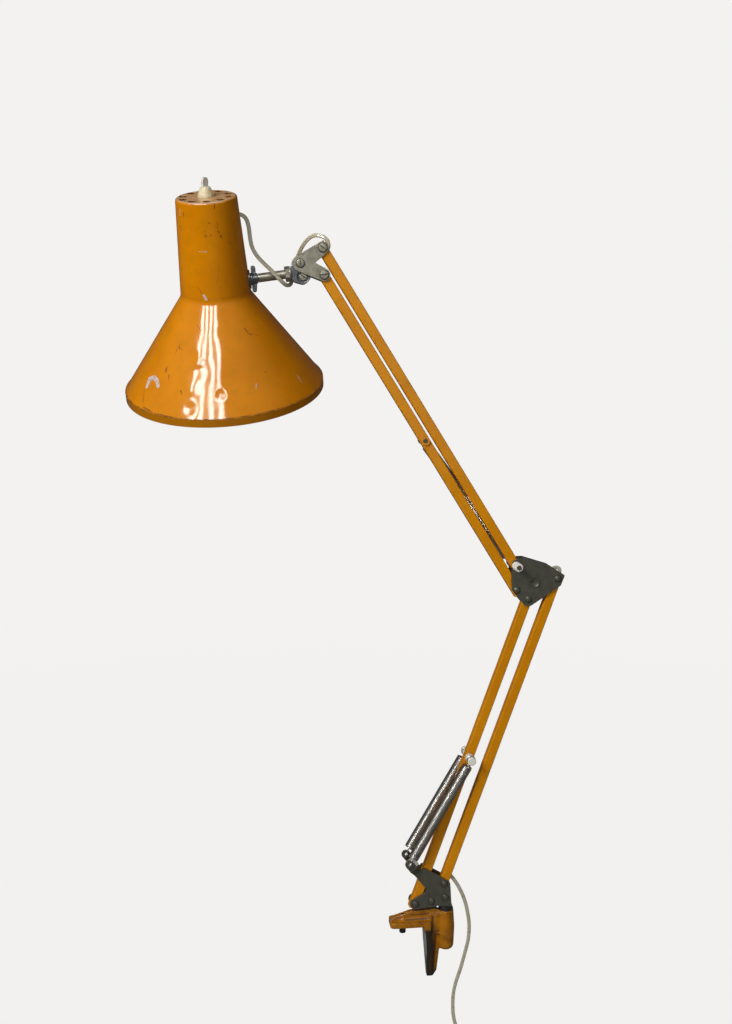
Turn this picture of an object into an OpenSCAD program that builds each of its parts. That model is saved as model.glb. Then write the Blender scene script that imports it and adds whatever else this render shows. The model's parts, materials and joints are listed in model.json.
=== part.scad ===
/* [Arm tubes] */
// Side of the square arm tube
tube_w = 9; // [8.5:0.5:10]
// Wall of the arm tube
tube_wall = 1; // [0.7:0.1:1.3]
// Outer corner radius of the arm tube
tube_corner = 1.2; // [0.6:0.1:2]
// Tube beyond each pivot
tube_end = 5.5; // [5:0.1:5.7]
// Lower arm, pivot to pivot
lower_arm_l = 320; // [250:1:420]
// Upper arm, pivot to pivot
upper_arm_l = 346; // [280:1:450]

/* [Pose] */
// Lower arm above the horizontal
lower_arm_deg = 70.35; // [62:0.05:90]
// Upper arm above the horizontal, counted from the right
upper_arm_deg = 121.9; // [119:0.1:140]
// Shade leans left by
shade_lean = 5; // [0:0.5:10]
// Shade turned about its shaft, top towards the front
shade_roll = 20; // [-30:1:30]

/* [Linkage] */
// Base pivots, hole to hole
lower_link = 34.5; // [33:0.5:38]
// Slope of the line through the base pivots
lower_link_deg = 34.1; // [32:0.1:37]
// Elbow and head pivots of the upper arm, hole to hole
upper_link = 23.9; // [23:0.1:26]
// Slope of the line through those pivots
upper_link_deg = 92.75; // [91:0.25:95]
// Front base pivot from the foot, sideways
base_front_x = 11.8; // [10:0.1:13]
// Front base pivot above the foot's lower face
base_front_z = 31.1; // [31:0.1:33]
// Lower elbow pivot of the upper arm from the front pivot of the lower arm, sideways
elbow_dx = -11.5; // [-13:0.1:-11]
// The same, upwards
elbow_dz = 8.9; // [8.8:0.1:11]
// Thickness of the linkage plates
plate_t = 1.6; // [1.2:0.1:2]
// Gap between a tube and a linkage plate
side_gap = 0.3; // [0.25:0.05:0.4]

/* [Pins] */
// Radius of the pivot pins
pin_r = 2.2; // [1.8:0.1:2.4]
// Running clearance round a pin
run_gap = 0.05; // [0.03:0.01:0.08]
// Radius of a rivet head
rivet_head_r = 3.6; // [3.2:0.1:3.8]
// Height of a rivet head
rivet_head_h = 1.3; // [1:0.1:1.8]
// Radius of the slotted screw heads
screw_head_r = 4.3; // [3.8:0.1:4.6]
// Height of the slotted screw heads
screw_head_h = 1.9; // [1.5:0.1:2.2]
// Reach of the spring pins from the middle
spring_pin_y = 18.6; // [17:0.1:20]

/* [Springs] */
// Springs from the middle plane
spring_y = 12; // [11.5:0.1:12.5]
// Outer diameter of a spring
spring_d = 10.4; // [9:0.1:10.6]
// Spring wire
wire_d = 1.3; // [1:0.1:1.4]
// Lower arm's spring pin above the front base pivot, along the tube
lower_pin_s = 155.5; // [140:0.5:180]
// Upper arm's spring pin above the lower elbow pivot, along the tube
upper_pin_s = 168.6; // [150:0.5:200]

/* [Clamp] */
// Half the width of the clamp's arm and leg
clamp_half_w = 9.5; // [8:0.5:12]
// Underside of the clamp's arm above the foot's lower face
arm_z = 8; // [7:0.25:9]
// Thickness of the clamp's arm
arm_t = 5.4; // [4.5:0.1:6]
// Inner face of the clamp's leg, at the arm
leg_x = 20.6; // [19:0.1:21]
// Thickness of the clamp's leg
leg_t = 6.2; // [5:0.1:7]
// Length of the leg below the arm
leg_l = 54.5; // [48:0.5:70]
// Lean of the leg's inner face
leg_lean = 3.7; // [0:0.1:5]
// Thickness of the clamp's central rib
rib_t = 6; // [5:0.5:7]
// Swivel axis from the foot
swivel_x = 43; // [42.5:0.1:44]
// Radius of the swivel post
post_r = 6.3; // [6:0.05:6.4]
// Wall of the socket at its mouth
socket_wall = 1.3; // [1:0.1:2]
// Top of the socket
socket_top_z = 22.2; // [21:0.1:22.6]
// Bottom of the socket
socket_low_z = -19; // [-24:0.5:-16]
// Radius of the rubber foot
foot_r = 3.2; // [2.8:0.1:3.6]

/* [Head] */
// Knuckle screw from the lower head pivot, sideways
head_dx = -21.4; // [-23:0.1:-20]
// The same, upwards
head_dz = 10; // [8:0.1:12]
// Slope of the shade's shaft
shaft_deg = 8.2; // [4:0.1:12]
// Radius of the shade's shaft
shaft_r = 4; // [3.5:0.1:4.2]
// Radius of the shaft's threaded end
thread_r = 3; // [2.5:0.1:3.2]
// Shaft axis below the knuckle screw
shaft_drop = 7.5; // [7:0.1:8]
// Knuckle screw to the shade's axis, along the shaft
shade_reach = 78.2; // [76:0.1:90]

/* [Shade] */
// Sheet of the shade
shade_wall = 0.8; // [0.6:0.1:1.2]
// Radius of the neck at its top
neck_top_r = 26.7; // [25:0.1:28]
// Radius of the neck where the flare starts
neck_low_r = 31.5; // [31:0.1:32]
// Top of the neck above the shaft
neck_top_z = 77.6; // [74:0.1:90]
// Start of the flare below the shaft
flare_z = 8.5; // [8:0.1:12]
// Radius of the rim
rim_r = 92; // [85:0.5:100]
// Rim below the shaft
rim_z = 100; // [95:0.1:110]
// Height of the hem
hem_h = 7.3; // [5:0.1:10]
// Number of vent holes
vents = 10; // [8:1:12]
// Radius of a vent hole
vent_r = 3.7; // [2.5:0.1:4]

/* [Hidden] */
$fn = 48;
// Round corners of bent and punched outlines are drawn with this many steps
corner_steps = 5;

orange = [0.80, 0.47, 0.05];
steel_dark = [0.30, 0.30, 0.28];
steel_light = [0.62, 0.61, 0.57];
steel_blue = [0.36, 0.38, 0.42];
nylon = [0.93, 0.92, 0.86];
flex = [0.74, 0.71, 0.62];
black = [0.09, 0.09, 0.09];
brass = [0.75, 0.60, 0.30];
cream = [0.90, 0.86, 0.74];

// ---- Points in the plane of the arms, as [sideways, up] ----
function polar(l, a) = l * [cos(a), sin(a)];
base_front = [base_front_x, base_front_z];
base_rear = base_front + polar(lower_link, lower_link_deg);
elbow_front = base_front + polar(lower_arm_l, lower_arm_deg);
elbow_rear = base_rear + polar(lower_arm_l, lower_arm_deg);
elbow_low = elbow_front + [elbow_dx, elbow_dz];
elbow_top = elbow_low + polar(upper_link, upper_link_deg);
head_low = elbow_low + polar(upper_arm_l, upper_arm_deg);
head_top = elbow_top + polar(upper_arm_l, upper_arm_deg);
knuckle_at = head_low + [head_dx, head_dz];
elbow_middle = (elbow_top + elbow_low + elbow_front + elbow_rear) / 4 + [4.5, 1];
lower_spring_at = base_front + polar(lower_pin_s, lower_arm_deg);
upper_spring_at = elbow_low + polar(upper_pin_s, upper_arm_deg);
// Hole of the base plates' ears
ear_at = base_front + [-7, 43.9];
ear_deg = -51.6;
ear_r = 4.2;
ear_hole_r = 1.7;
// Rivets through the base plates and the post's head
post_rivet_at = [swivel_x - 1.3, base_front_z + 4.9];
head_rivet_at = base_front + [16, 2];
pinch_at = knuckle_at + [2.8, -11.7];
shaft_dir = [cos(shaft_deg), sin(shaft_deg)];
shaft_up = [-shaft_dir.y, shaft_dir.x];
shaft_foot = knuckle_at - shaft_drop * shaft_up;
shade_at = shaft_foot - shade_reach * shaft_dir;

// ---- Distances from the middle plane ----
tube_y = tube_w / 2;
plate_in = tube_y + side_gap;
plate_out = plate_in + plate_t;
stud_in = tube_y - tube_wall - 0.2;

// ---- Outline helpers ----
function unit(v) = v / norm(v);
// Points of a round corner of radius r at b, between a and c
function corner(a, b, c, r) =
  let (
    u = unit(a - b),
    v = unit(c - b),
    half = acos(u * v) / 2,
    from = b + u * (r / tan(half)),
    middle = b + unit(u + v) * (r / sin(half)),
    to = b + v * (r / tan(half)),
    a0 = atan2(from.y - middle.y, from.x - middle.x),
    a1 = atan2(to.y - middle.y, to.x - middle.x),
    turn = (a1 - a0 + 540) % 360 - 180
  )
  [for (i = [0:corner_steps]) middle + polar(r, a0 + turn * i / corner_steps)];
// An outline of [x, y, corner radius]
function soft(p) = [
  for (i = [0:len(p) - 1])
    let (n = len(p), a = p[(i + n - 1) % n], b = p[i], c = p[(i + 1) % n])
    each b.z > 0 ? corner([a.x, a.y], [b.x, b.y], [c.x, c.y], b.z) : [[b.x, b.y]]
];
// Points of an arc of radius r round p
function arc(p, r, a0, a1) = [for (i = [0:16]) p + polar(r, a0 + (a1 - a0) * i / 16)];
function heading(p, q) = atan2(q.y - p.y, q.x - p.x);
// A corner at an offset from a pivot
function near(p, dx, dz, r) = [p.x + dx, p.y + dz, r];
// An open line moved sideways by t
function beside(p, t) = [
  for (i = [0:len(p) - 1])
    let (
      a = p[max(i - 1, 0)],
      b = p[i],
      c = p[min(i + 1, len(p) - 1)],
      u = i > 0 ? unit(b - a) : unit(c - b),
      v = i < len(p) - 1 ? unit(c - b) : u,
      m = unit([-u.y, u.x] + [-v.y, v.x])
    )
    b + m * t / (m * [-u.y, u.x])
];

// ---- Solids helpers ----
// Extrudes an outline of the arms' plane from y_lo to y_hi
module slab(y_lo, y_hi)
  translate([0, y_hi, 0]) rotate([90, 0, 0]) linear_extrude(y_hi - y_lo) children();
// A rod across the arms' plane
module rod(p, r, y_lo, y_hi)
  translate([p.x, y_hi, p.y]) rotate([90, 0, 0]) cylinder(r = r, h = y_hi - y_lo);
module far_side() mirror([0, 1, 0]) children();
module both_sides() {
  children();
  far_side() children();
}
// Two discs and the band tangent to both
module strap(p, q, rp, rq) {
  a = heading(p, q);
  phi = acos((rp - rq) / norm(q - p));
  translate(p) circle(rp);
  translate(q) circle(rq);
  polygon([
    p + polar(rp, a + phi), q + polar(rq, a + phi),
    q + polar(rq, a - phi), p + polar(rp, a - phi)
  ]);
}
module round_square(w, r) {
  square([w, w - 2 * r], center = true);
  square([w - 2 * r, w], center = true);
  for (x = [-1, 1], y = [-1, 1]) translate([x, y] * (w / 2 - r)) circle(r);
}
// A square arm tube from p, along a, with its pivot bores at both ends
module arm_tube(p, a, l) difference() {
  translate([p.x, 0, p.y]) rotate([0, -a, 0]) translate([-tube_end, 0, 0])
    rotate([90, 0, 90]) linear_extrude(l + 2 * tube_end) difference() {
      round_square(tube_w, tube_corner);
      round_square(tube_w - 2 * tube_wall, tube_corner / 2);
    }
  for (s = [0, l]) rod(p + polar(s, a), pin_r + run_gap, -tube_w, tube_w);
}
// Half outline of a domed head of radius r and height h, standing on z = 0
module dome_profile(r, h) {
  big = (r * r + h * h) / (2 * h);
  intersection() {
    translate([0, h - big]) circle(big);
    square([r, h]);
  }
}
// A dome facing the front, seated at distance y from the middle
module dome(p, r, h, y)
  translate([p.x, -y, p.y]) rotate([90, 0, 0]) rotate_extrude() dome_profile(r, h);
// A rivet through both plates
module rivet(p, y = plate_out) {
  rod(p, pin_r, -y, y);
  both_sides() dome(p, rivet_head_r, rivet_head_h, y);
}
// A slotted cheese head facing the front
module slotted_head(p, r, h, y, slot_deg) difference() {
  translate([p.x, -y, p.y]) rotate([90, 0, 0])
    rotate_extrude() polygon(soft([[0, 0, 0], [r, 0, 0], [r, h * 0.85, h * 0.5], [0, h, 0]]));
  translate([p.x, -y - h, p.y]) rotate([0, -slot_deg, 0])
    cube([3 * r, h, 0.9], center = true);
}
// A nut or washer on the shaft, from distance s, of thickness t
module shaft_frame()
  translate([shade_at.x, 0, shade_at.y]) rotate([0, 90 - shaft_deg, 0]) children();
module shade_frame()
  translate([shade_at.x, 0, shade_at.y])
    rotate(a = shade_roll, v = [shaft_dir.x, 0, shaft_dir.y])
      rotate([0, -shade_lean, 0]) children();

// ---- Clamp ----
leg_low_z = arm_z - leg_l;
function leg_face(z) = leg_x + (arm_z - z) * tan(leg_lean);
socket_mid_r = post_r + socket_wall + 1.2;
socket_low_r = socket_mid_r - 0.9;
arm_tip_x = -13;
collar_h = 2.4;

module clamp_rib() polygon(soft([
  [arm_tip_x + 0.4, arm_z + 1, 0],
  [arm_tip_x + 0.2, arm_z + 7.6, 1.5],
  [arm_tip_x + 22, arm_z + 14.4, 12],
  [swivel_x - 9, socket_top_z + 1.8, 1],
  [swivel_x - 8, socket_top_z, 0],
  [swivel_x, socket_top_z, 0],
  [swivel_x, socket_low_z + 4, 0],
  [swivel_x - 6.6, socket_low_z + 0.5, 1],
  [leg_face(leg_low_z) + 9.8, leg_low_z + 6, 2],
  [leg_face(leg_low_z) + 6, leg_low_z, 1.5],
  [leg_face(leg_low_z) + 1, leg_low_z, 0.5],
  [leg_x + 2, arm_z, 0]
]));
module clamp_leg() intersection() {
  slab(-clamp_half_w, clamp_half_w) polygon([
    [leg_face(arm_z + arm_t), arm_z + arm_t],
    [leg_face(arm_z + arm_t) + leg_t, arm_z + arm_t],
    [leg_face(leg_low_z) + leg_t - 1, leg_low_z],
    [leg_face(leg_low_z), leg_low_z]
  ]);
  // Seen along the table's edge the leg is a tongue
  rotate([90, 0, 90]) linear_extrude(3 * swivel_x) polygon(soft([
    [-clamp_half_w, arm_z + arm_t, 0],
    [-clamp_half_w, arm_z - 20, 20],
    [-4.2, leg_low_z, 3],
    [4.2, leg_low_z, 3],
    [clamp_half_w, arm_z - 20, 20],
    [clamp_half_w, arm_z + arm_t, 0]
  ]));
}
module socket_profile() polygon(soft([
  [0, socket_low_z, 0],
  [socket_low_r, socket_low_z, 5],
  [socket_mid_r, arm_z - 4, 0],
  [post_r + socket_wall, socket_top_z, 0.6],
  [0, socket_top_z, 0]
]));
module clamp_bracket() color(orange) difference() {
  union() {
    translate([0, 0, arm_z]) linear_extrude(arm_t) polygon(soft([
      [arm_tip_x, -clamp_half_w, 4], [arm_tip_x, clamp_half_w, 4],
      [leg_x + leg_t, clamp_half_w, 0], [leg_x + leg_t, -clamp_half_w, 0]
    ]));
    clamp_leg();
    slab(-rib_t / 2, rib_t / 2) clamp_rib();
    // Cast fillets beside the rib
    slab(-rib_t / 2 - 1.6, rib_t / 2 + 1.6) polygon([
      [arm_tip_x + 1, arm_z + 1], [arm_tip_x + 1, arm_z + arm_t + 0.8],
      [leg_x + leg_t + 1, arm_z + arm_t + 2], [leg_x + leg_t + 2, -15],
      [leg_x + leg_t, -15], [leg_x + leg_t, arm_z + 1]
    ]);
    // Gusset between the leg and the socket
    slab(-5.6, 5.6) polygon([
      [leg_x + leg_t - 1, socket_top_z - 4], [swivel_x, socket_top_z - 1.5],
      [swivel_x, arm_z - 11], [leg_x + leg_t + 3, arm_z - 8.5], [leg_x + leg_t - 1, arm_z - 5]
    ]);
    translate([0, 0, arm_z + 1]) cylinder(r = 3.5, h = arm_t + 2.4);
    // Collar that holds the foot
    translate([0, 0, arm_z - collar_h]) cylinder(r = foot_r + 1.4, h = collar_h + 1);
    translate([swivel_x, 0, 0]) rotate_extrude() socket_profile();
  }
  cylinder(r = foot_r, h = arm_z);
  translate([0, 0, arm_z - 1]) cylinder(r = 1.6, h = arm_t + 8);
  translate([swivel_x, 0, socket_low_z + 6])
      cylinder(r = post_r + run_gap, h = socket_top_z - socket_low_z);
}
module rubber_foot() color(black) rotate_extrude() polygon(soft([
  [0, 0, 0], [foot_r, 0, 0.5], [foot_r, arm_z, 0], [1.6, arm_z, 0],
  [1.6, arm_z + arm_t + 3.4 + 0.9, 0.5], [0, arm_z + arm_t + 3.4 + 0.9, 0]
]));

// ---- Base ----
plate_low_z = base_front_z - 4.4;
module base_outline() polygon(soft([
  near(base_front, -5.9, -5.5, 5),
  near(base_front, 15.1, -4.3, 3),
  [swivel_x - 8.5, plate_low_z + 1.6, 3],
  [swivel_x + 4.8, plate_low_z, 1.5],
  near(base_rear, 5.8, 1.2, 3),
  near(base_rear, -2.2, 6.8, 6),
  near(base_rear, -12.8, 13, 8),
  near(ear_at, 14, -5.8, 2.5),
  near(ear_at + polar(19, ear_deg), 0, 0, 0),
  near(ear_at + polar(29, ear_deg), 0, 0, 0),
  near(ear_at, 17, -29.5, 1.5),
  near(ear_at, 16.6, -32.6, 3),
  near(base_front, -4.8, 3.6, 4.6)
]));
// The ear is joggled outwards, in line with its spring
ear_l = 34;
// The ear's root is this much thinner on each side than the plate it joins
ear_inset = 0.05;
module base_ear() difference() {
  intersection() {
    translate([ear_at.x, 0, ear_at.y]) rotate([0, -ear_deg, 0])
      linear_extrude(2 * ear_r + 1, center = true) polygon([
        [-ear_r - 1, -spring_y - plate_t / 2], [7, -spring_y - plate_t / 2],
        [15, ear_inset - plate_out], [ear_l, ear_inset - plate_out],
        [ear_l, -ear_inset - plate_in], [14, -ear_inset - plate_in],
        [6, -spring_y + plate_t / 2], [-ear_r - 1, -spring_y + plate_t / 2]
      ]);
    slab(-2 * spring_y, 0) strap(ear_at, ear_at + polar(2 * ear_l, ear_deg), ear_r, ear_r);
  }
  rod(ear_at, ear_hole_r, -2 * spring_y, 0);
}
module base_plate() difference() {
  union() {
    slab(-plate_out, -plate_in) base_outline();
    base_ear();
  }
  for (p = [base_front, base_rear, head_rivet_at, post_rivet_at]) rod(p, pin_r, -20, 0);
}
module base_plate_near() color(steel_dark) base_plate();
module base_plate_far() color(steel_dark) far_side() base_plate();
// A round post with a flat head that the plates grip
module swivel_post() color(black) difference() {
  union() {
    translate([swivel_x, 0, socket_low_z + 6.5])
      cylinder(r = post_r, h = plate_low_z - 0.6 - socket_low_z - 6.5);
    // Neck ring that rests on the socket's mouth
    translate([swivel_x, 0, socket_top_z]) cylinder(r = post_r + socket_wall - 0.4, h = 1.4);
    slab(-plate_in, plate_in) {
      strap(head_rivet_at, post_rivet_at, 5.2, 5.6);
      polygon([
        [swivel_x - 5.8, socket_top_z], [swivel_x + 5.4, socket_top_z],
        [swivel_x + 4.2, post_rivet_at.y], [swivel_x - 5.8, post_rivet_at.y]
      ]);
    }
  }
  for (p = [head_rivet_at, post_rivet_at]) rod(p, pin_r, -20, 20);
}
module base_post_rivets() color(steel_dark) {
  rivet(post_rivet_at);
  rivet(head_rivet_at);
}
module base_pivot_rivets() color(steel_dark) {
  rivet(base_front);
  rivet(base_rear);
}

// ---- Springs ----
groove_r = 3;
ring_r = groove_r + wire_d / 2 + 0.15;
ear_ring_r = 3.4;
module wire_ring(r) rotate_extrude() translate([r, 0]) circle(wire_d / 2, $fn = 24);
// A close-wound spring that stands on the origin and ends in a ring round a pin at z = l
module coil_spring(l, in_ear) {
  coil_r = (spring_d - wire_d) / 2;
  z0 = in_ear ? 2 * ear_ring_r + 1 : ring_r + 2.5;
  z1 = l - ring_r - 2.5;
  turns = floor((z1 - z0) / wire_d);
  pitch = (z1 - z0) / turns;
  rotate_extrude() {
    for (i = [0:turns - 1])
      translate([coil_r, z0 + pitch * (i + 0.5)]) circle(wire_d / 2, $fn = 16);
    translate([coil_r - wire_d * 0.3, z0 + pitch / 2]) square([wire_d * 0.6, z1 - z0 - pitch]);
    // The last turns close in to the hooks
    for (z = [z0, z1 - wire_d]) translate([0, z]) square([coil_r, wire_d]);
  }
  translate([0, 0, l]) rotate([90, 0, 0]) wire_ring(ring_r);
  translate([0, 0, z1 - 0.5]) cylinder(r = wire_d / 2, h = l - ring_r - z1 + 0.5, $fn = 24);
  if (in_ear) {
    translate([0, 0, ear_ring_r]) rotate([0, 90, 0]) wire_ring(ear_ring_r);
    translate([0, 0, 2 * ear_ring_r]) cylinder(r = wire_d / 2, h = z0 - 2 * ear_ring_r + 0.5, $fn = 24);
  } else {
    rotate([90, 0, 0]) wire_ring(ring_r);
    translate([0, 0, ring_r]) cylinder(r = wire_d / 2, h = z0 - ring_r + 0.5, $fn = 24);
  }
}
module spring_between(p, q, y, in_ear)
  translate([p.x, y, p.y]) rotate([0, 90 - heading(p, q), 0])
    coil_spring(norm(q - p), in_ear);
module lower_spring_near() color(steel_dark)
  spring_between(ear_at, lower_spring_at, -spring_y, true);
module lower_spring_far() color(steel_dark)
  spring_between(ear_at, lower_spring_at, spring_y, true);
module upper_spring() color(steel_dark)
  spring_between(elbow_top, upper_spring_at, spring_y, false);

// A grooved nylon bush on the front side, from y0 to near the pin's end
bush_end_y = spring_pin_y - 0.8;
bush_cap_t = 1.8;
module bush(p, y0) translate([p.x, 0, p.y]) rotate([90, 0, 0]) rotate_extrude() polygon([
  [pin_r, y0], [4.2, y0], [4.2, spring_y - 3.2], [groove_r, spring_y - 1.4],
  [groove_r, spring_y + 1.4], [3.8, spring_y + 2], [4.2, spring_y + 3.4],
  [4, bush_end_y - 0.6], [3.4, bush_end_y], [pin_r, bush_end_y]
]);
// The same, closed over the end of its pin
module closed_bush(p, y0) {
  bush(p, y0);
  rod(p, pin_r, -bush_end_y, bush_cap_t - bush_end_y);
}

// ---- Lower arm ----
module front_bar() color(orange) difference() {
  arm_tube(base_front, lower_arm_deg, lower_arm_l);
  rod(lower_spring_at, pin_r, -tube_w, tube_w);
}
module front_spring_pin() color(steel_dark)
  rod(lower_spring_at, pin_r, bush_cap_t - bush_end_y, spring_pin_y);
module front_pin_bushes() color(nylon) {
  closed_bush(lower_spring_at, tube_y);
  far_side() bush(lower_spring_at, tube_y);
}

// The lead leaves the rear bar by a slot in its rear wall
lead_slot_s = 8.2;
lead_slot_l = 9.6;
lead_slot_w = 5.4;
module rear_bar() color(orange) difference() {
  arm_tube(base_rear, lower_arm_deg, lower_arm_l);
  translate([base_rear.x, 0, base_rear.y]) rotate([0, -lower_arm_deg, 0])
    translate([lead_slot_s, 0, -tube_w / 2]) linear_extrude(tube_w / 2) {
      square([lead_slot_l - lead_slot_w, lead_slot_w], center = true);
      for (x = [-1, 1]) translate([x * (lead_slot_l - lead_slot_w) / 2, 0]) circle(lead_slot_w / 2);
    }
}

// ---- Elbow ----
module elbow_outline() polygon(soft([
  near(elbow_top, -4.3, -4, 3), near(elbow_top, -3.4, 3.6, 3),
  near(elbow_top, 1.5, 7.3, 2.5), near(elbow_top, 8.2, 7.5, 5),
  near(elbow_rear, -8.8, 13.3, 6), near(elbow_rear, 6.6, 3.2, 1.2),
  near(elbow_rear, 2.8, -6.8, 4), near(elbow_front, 2.2, -6.5, 3.5),
  near(elbow_front, -3, -6.6, 3), near(elbow_low, -4.9, 1, 3.5)
]));
module elbow_plate() difference() {
  slab(-plate_out, -plate_in) elbow_outline();
  for (p = [elbow_top, elbow_low, elbow_front, elbow_rear]) rod(p, pin_r, -20, 0);
  rod(elbow_middle, 3, -20, 0);
}
module elbow_plate_near() color(steel_dark) elbow_plate();
module elbow_plate_far() color(steel_dark) far_side() elbow_plate();
// Spacer tube with a wide dished head outside each plate
module elbow_spacer() color(steel_dark) difference() {
  union() {
    rod(elbow_middle, 4, -plate_in, plate_in);
    rod(elbow_middle, 3, -plate_out, plate_out);
    both_sides() rod(elbow_middle, 4.8, -plate_out - 0.7, -plate_out);
  }
  both_sides() translate([elbow_middle.x, -plate_out - 8.4, elbow_middle.y]) sphere(8.8);
}
module elbow_low_rivet() color(steel_dark) rivet(elbow_low);
module elbow_front_rivet() color(steel_dark) rivet(elbow_front);
// Short studs that leave the tube open for the flex
module elbow_rear_studs() color(steel_dark) both_sides() {
  rod(elbow_rear, pin_r, -plate_out, -stud_in);
  dome(elbow_rear, rivet_head_r, rivet_head_h, plate_out);
}
module elbow_spring_studs() color(steel_dark) both_sides()
  rod(elbow_top, pin_r, -spring_pin_y, -stud_in);
module elbow_bushes() color(nylon) both_sides() bush(elbow_top, plate_out);

// ---- Upper arm ----
// The flex enters the top bar where its upper wall is cut away
cord_notch_l = 13.5;
module top_bar() color(orange) difference() {
  arm_tube(elbow_top, upper_arm_deg, upper_arm_l);
  translate([head_top.x, 0, head_top.y]) rotate([0, -upper_arm_deg, 0])
    translate([-cord_notch_l + tube_end, -lead_slot_w / 2, -tube_w / 2 - 1])
      cube([cord_notch_l + 1, lead_slot_w, tube_w / 2]);
}
module bottom_bar() color(orange) difference() {
  arm_tube(elbow_low, upper_arm_deg, upper_arm_l);
  rod(upper_spring_at, pin_r, -tube_w, tube_w);
}
collar_t = 1.4;
module upper_spring_pin() color(steel_dark)
  rod(upper_spring_at, pin_r, -tube_y - collar_t, spring_pin_y);
module upper_pin_collar() color(orange) difference() {
  rod(upper_spring_at, 4.3, -tube_y - collar_t, -tube_y);
  rod(upper_spring_at, pin_r, -20, 0);
}
module upper_pin_bush() color(nylon) far_side() bush(upper_spring_at, tube_y);

// ---- Head bracket ----
knuckle_end_r = 7.3;
head_end_r = 5.6;
// Two arms from the knuckle, as one outline
module head_outline() {
  spread = acos((knuckle_end_r - head_end_r) / norm(head_top - knuckle_at));
  up = heading(knuckle_at, head_top);
  down = 360 + heading(knuckle_at, head_low);
  polygon(concat(
    arc(head_top, head_end_r, up - spread, up + spread),
    arc(knuckle_at, knuckle_end_r, up + spread, down - spread),
    arc(head_low, head_end_r, down - spread, down + spread),
    [knuckle_at + [13.3, 0.7]]
  ));
}
module head_plate() difference() {
  slab(-plate_out, -plate_in) head_outline();
  for (p = [knuckle_at, head_top, head_low]) rod(p, pin_r, -20, 0);
}
module head_plate_near() color(steel_light) head_plate();
module head_plate_far() color(steel_light) far_side() head_plate();
module head_top_screws() color(steel_light) both_sides() {
  rod(head_top, pin_r, -plate_out, -stud_in);
  slotted_head(head_top, screw_head_r, screw_head_h, plate_out, -38);
}
module head_low_screw() color(steel_light) {
  rod(head_low, pin_r, -plate_out, plate_out);
  slotted_head(head_low, screw_head_r, screw_head_h, plate_out, 8);
  far_side() dome(head_low, rivet_head_r, rivet_head_h, plate_out);
}
nut_t = 3;
module knuckle_screw() color(steel_light) {
  rod(knuckle_at, pin_r, -plate_out, plate_out + nut_t + 0.8);
  slotted_head(knuckle_at, screw_head_r - 0.5, screw_head_h, plate_out, 98);
}
module knuckle_nut() color(steel_light) difference() {
  slab(plate_out, plate_out + nut_t) translate(knuckle_at) circle(4.2, $fn = 6);
  rod(knuckle_at, pin_r, -20, 20);
}

// ---- Knuckle and shaft ----
knuckle_y = plate_in - 0.4;
pinch_y = plate_in - screw_head_h - 0.2;
knuckle_left = 9.8;
knuckle_face = knuckle_at - knuckle_left * shaft_dir;
module knuckle_outline() polygon(soft([
  near(knuckle_face - 2.2 * shaft_up, 0, 0, 1), near(knuckle_face - 12.9 * shaft_up, 0, 0, 1.5),
  near(pinch_at, -7.5, -5.2, 4), near(pinch_at, 1.5, -7.4, 5.5),
  near(pinch_at, 7.2, -1.5, 5.5), near(knuckle_at, 6.4, 3, 5),
  near(knuckle_at, -1, 7.4, 5)
]));
module knuckle() color(steel_blue) difference() {
  slab(-knuckle_y, knuckle_y) knuckle_outline();
  // The pinched lobe is thinner, so that its screw turns between the plates
  both_sides() slab(-20, -pinch_y) translate(pinch_at) circle(5.6);
  rod(knuckle_at, pin_r + run_gap, -20, 20);
  rod(pinch_at, 1.9, -20, 20);
  shaft_frame() translate([0, 0, knuckle_face_s - 1]) cylinder(r = spigot_r, h = spigot_l + 1);
}
module pinch_screw() color(steel_light) {
  rod(pinch_at, 1.9, -pinch_y, pinch_y);
  slotted_head(pinch_at, screw_head_r - 0.5, screw_head_h, pinch_y, -38);
  far_side() dome(pinch_at, 3.2, 1.2, pinch_y);
}
spigot_r = shaft_r - 1;
spigot_l = 5.6;
// Places along the shaft, from the shade's axis
neck_side_s = (neck_low_r + (neck_top_r - neck_low_r) * flare_z / (neck_top_z + flare_z))
  / cos(shaft_deg - shade_lean);
washer_t = 1;
wing_s = neck_side_s + washer_t + 0.2;
wing_hub_l = 6.5;
thread_end_s = wing_s + wing_hub_l + 0.4;
knuckle_face_s = shade_reach - knuckle_left;
lock_nut_t = 3.6;
lock_washer_t = 1.3;
module shade_shaft() color(steel_light) shaft_frame() {
  translate([0, 0, thread_end_s]) cylinder(r = shaft_r, h = knuckle_face_s - thread_end_s);
  translate([0, 0, neck_side_s - 6.6]) cylinder(r = thread_r, h = thread_end_s - neck_side_s + 6.6);
  translate([0, 0, knuckle_face_s - 1]) cylinder(r = spigot_r, h = spigot_l + 1);
}
module ring_on_shaft(s, t, r_out, r_in, sides = 48) shaft_frame() translate([0, 0, s])
  difference() {
    cylinder(r = r_out, h = t, $fn = sides);
    translate([0, 0, -1]) cylinder(r = r_in, h = t + 2);
  }
module lock_washer() color(steel_light)
  ring_on_shaft(knuckle_face_s - lock_washer_t, lock_washer_t, 6.8, shaft_r);
module lock_nut() color(steel_light)
  ring_on_shaft(knuckle_face_s - lock_washer_t - lock_nut_t, lock_nut_t, 7, shaft_r, 6);
module shaft_end_nut() color(steel_light)
  ring_on_shaft(neck_side_s - shade_wall - 5, 4, 5, thread_r, 6);
module wing_outline() polygon(soft([
  [wing_s + 0.6, 0, 0], [wing_s + 0.1, 11.4, 1.6], [wing_s + 3.6, 12.8, 1.8], [wing_s + 5.4, 4.5, 2.5],
  [wing_s + 6, 0, 0], [wing_s + 5.4, -4.5, 2.5], [wing_s + 5.6, -11, 2], [wing_s + 1.6, -12, 1.6]
]));
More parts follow.
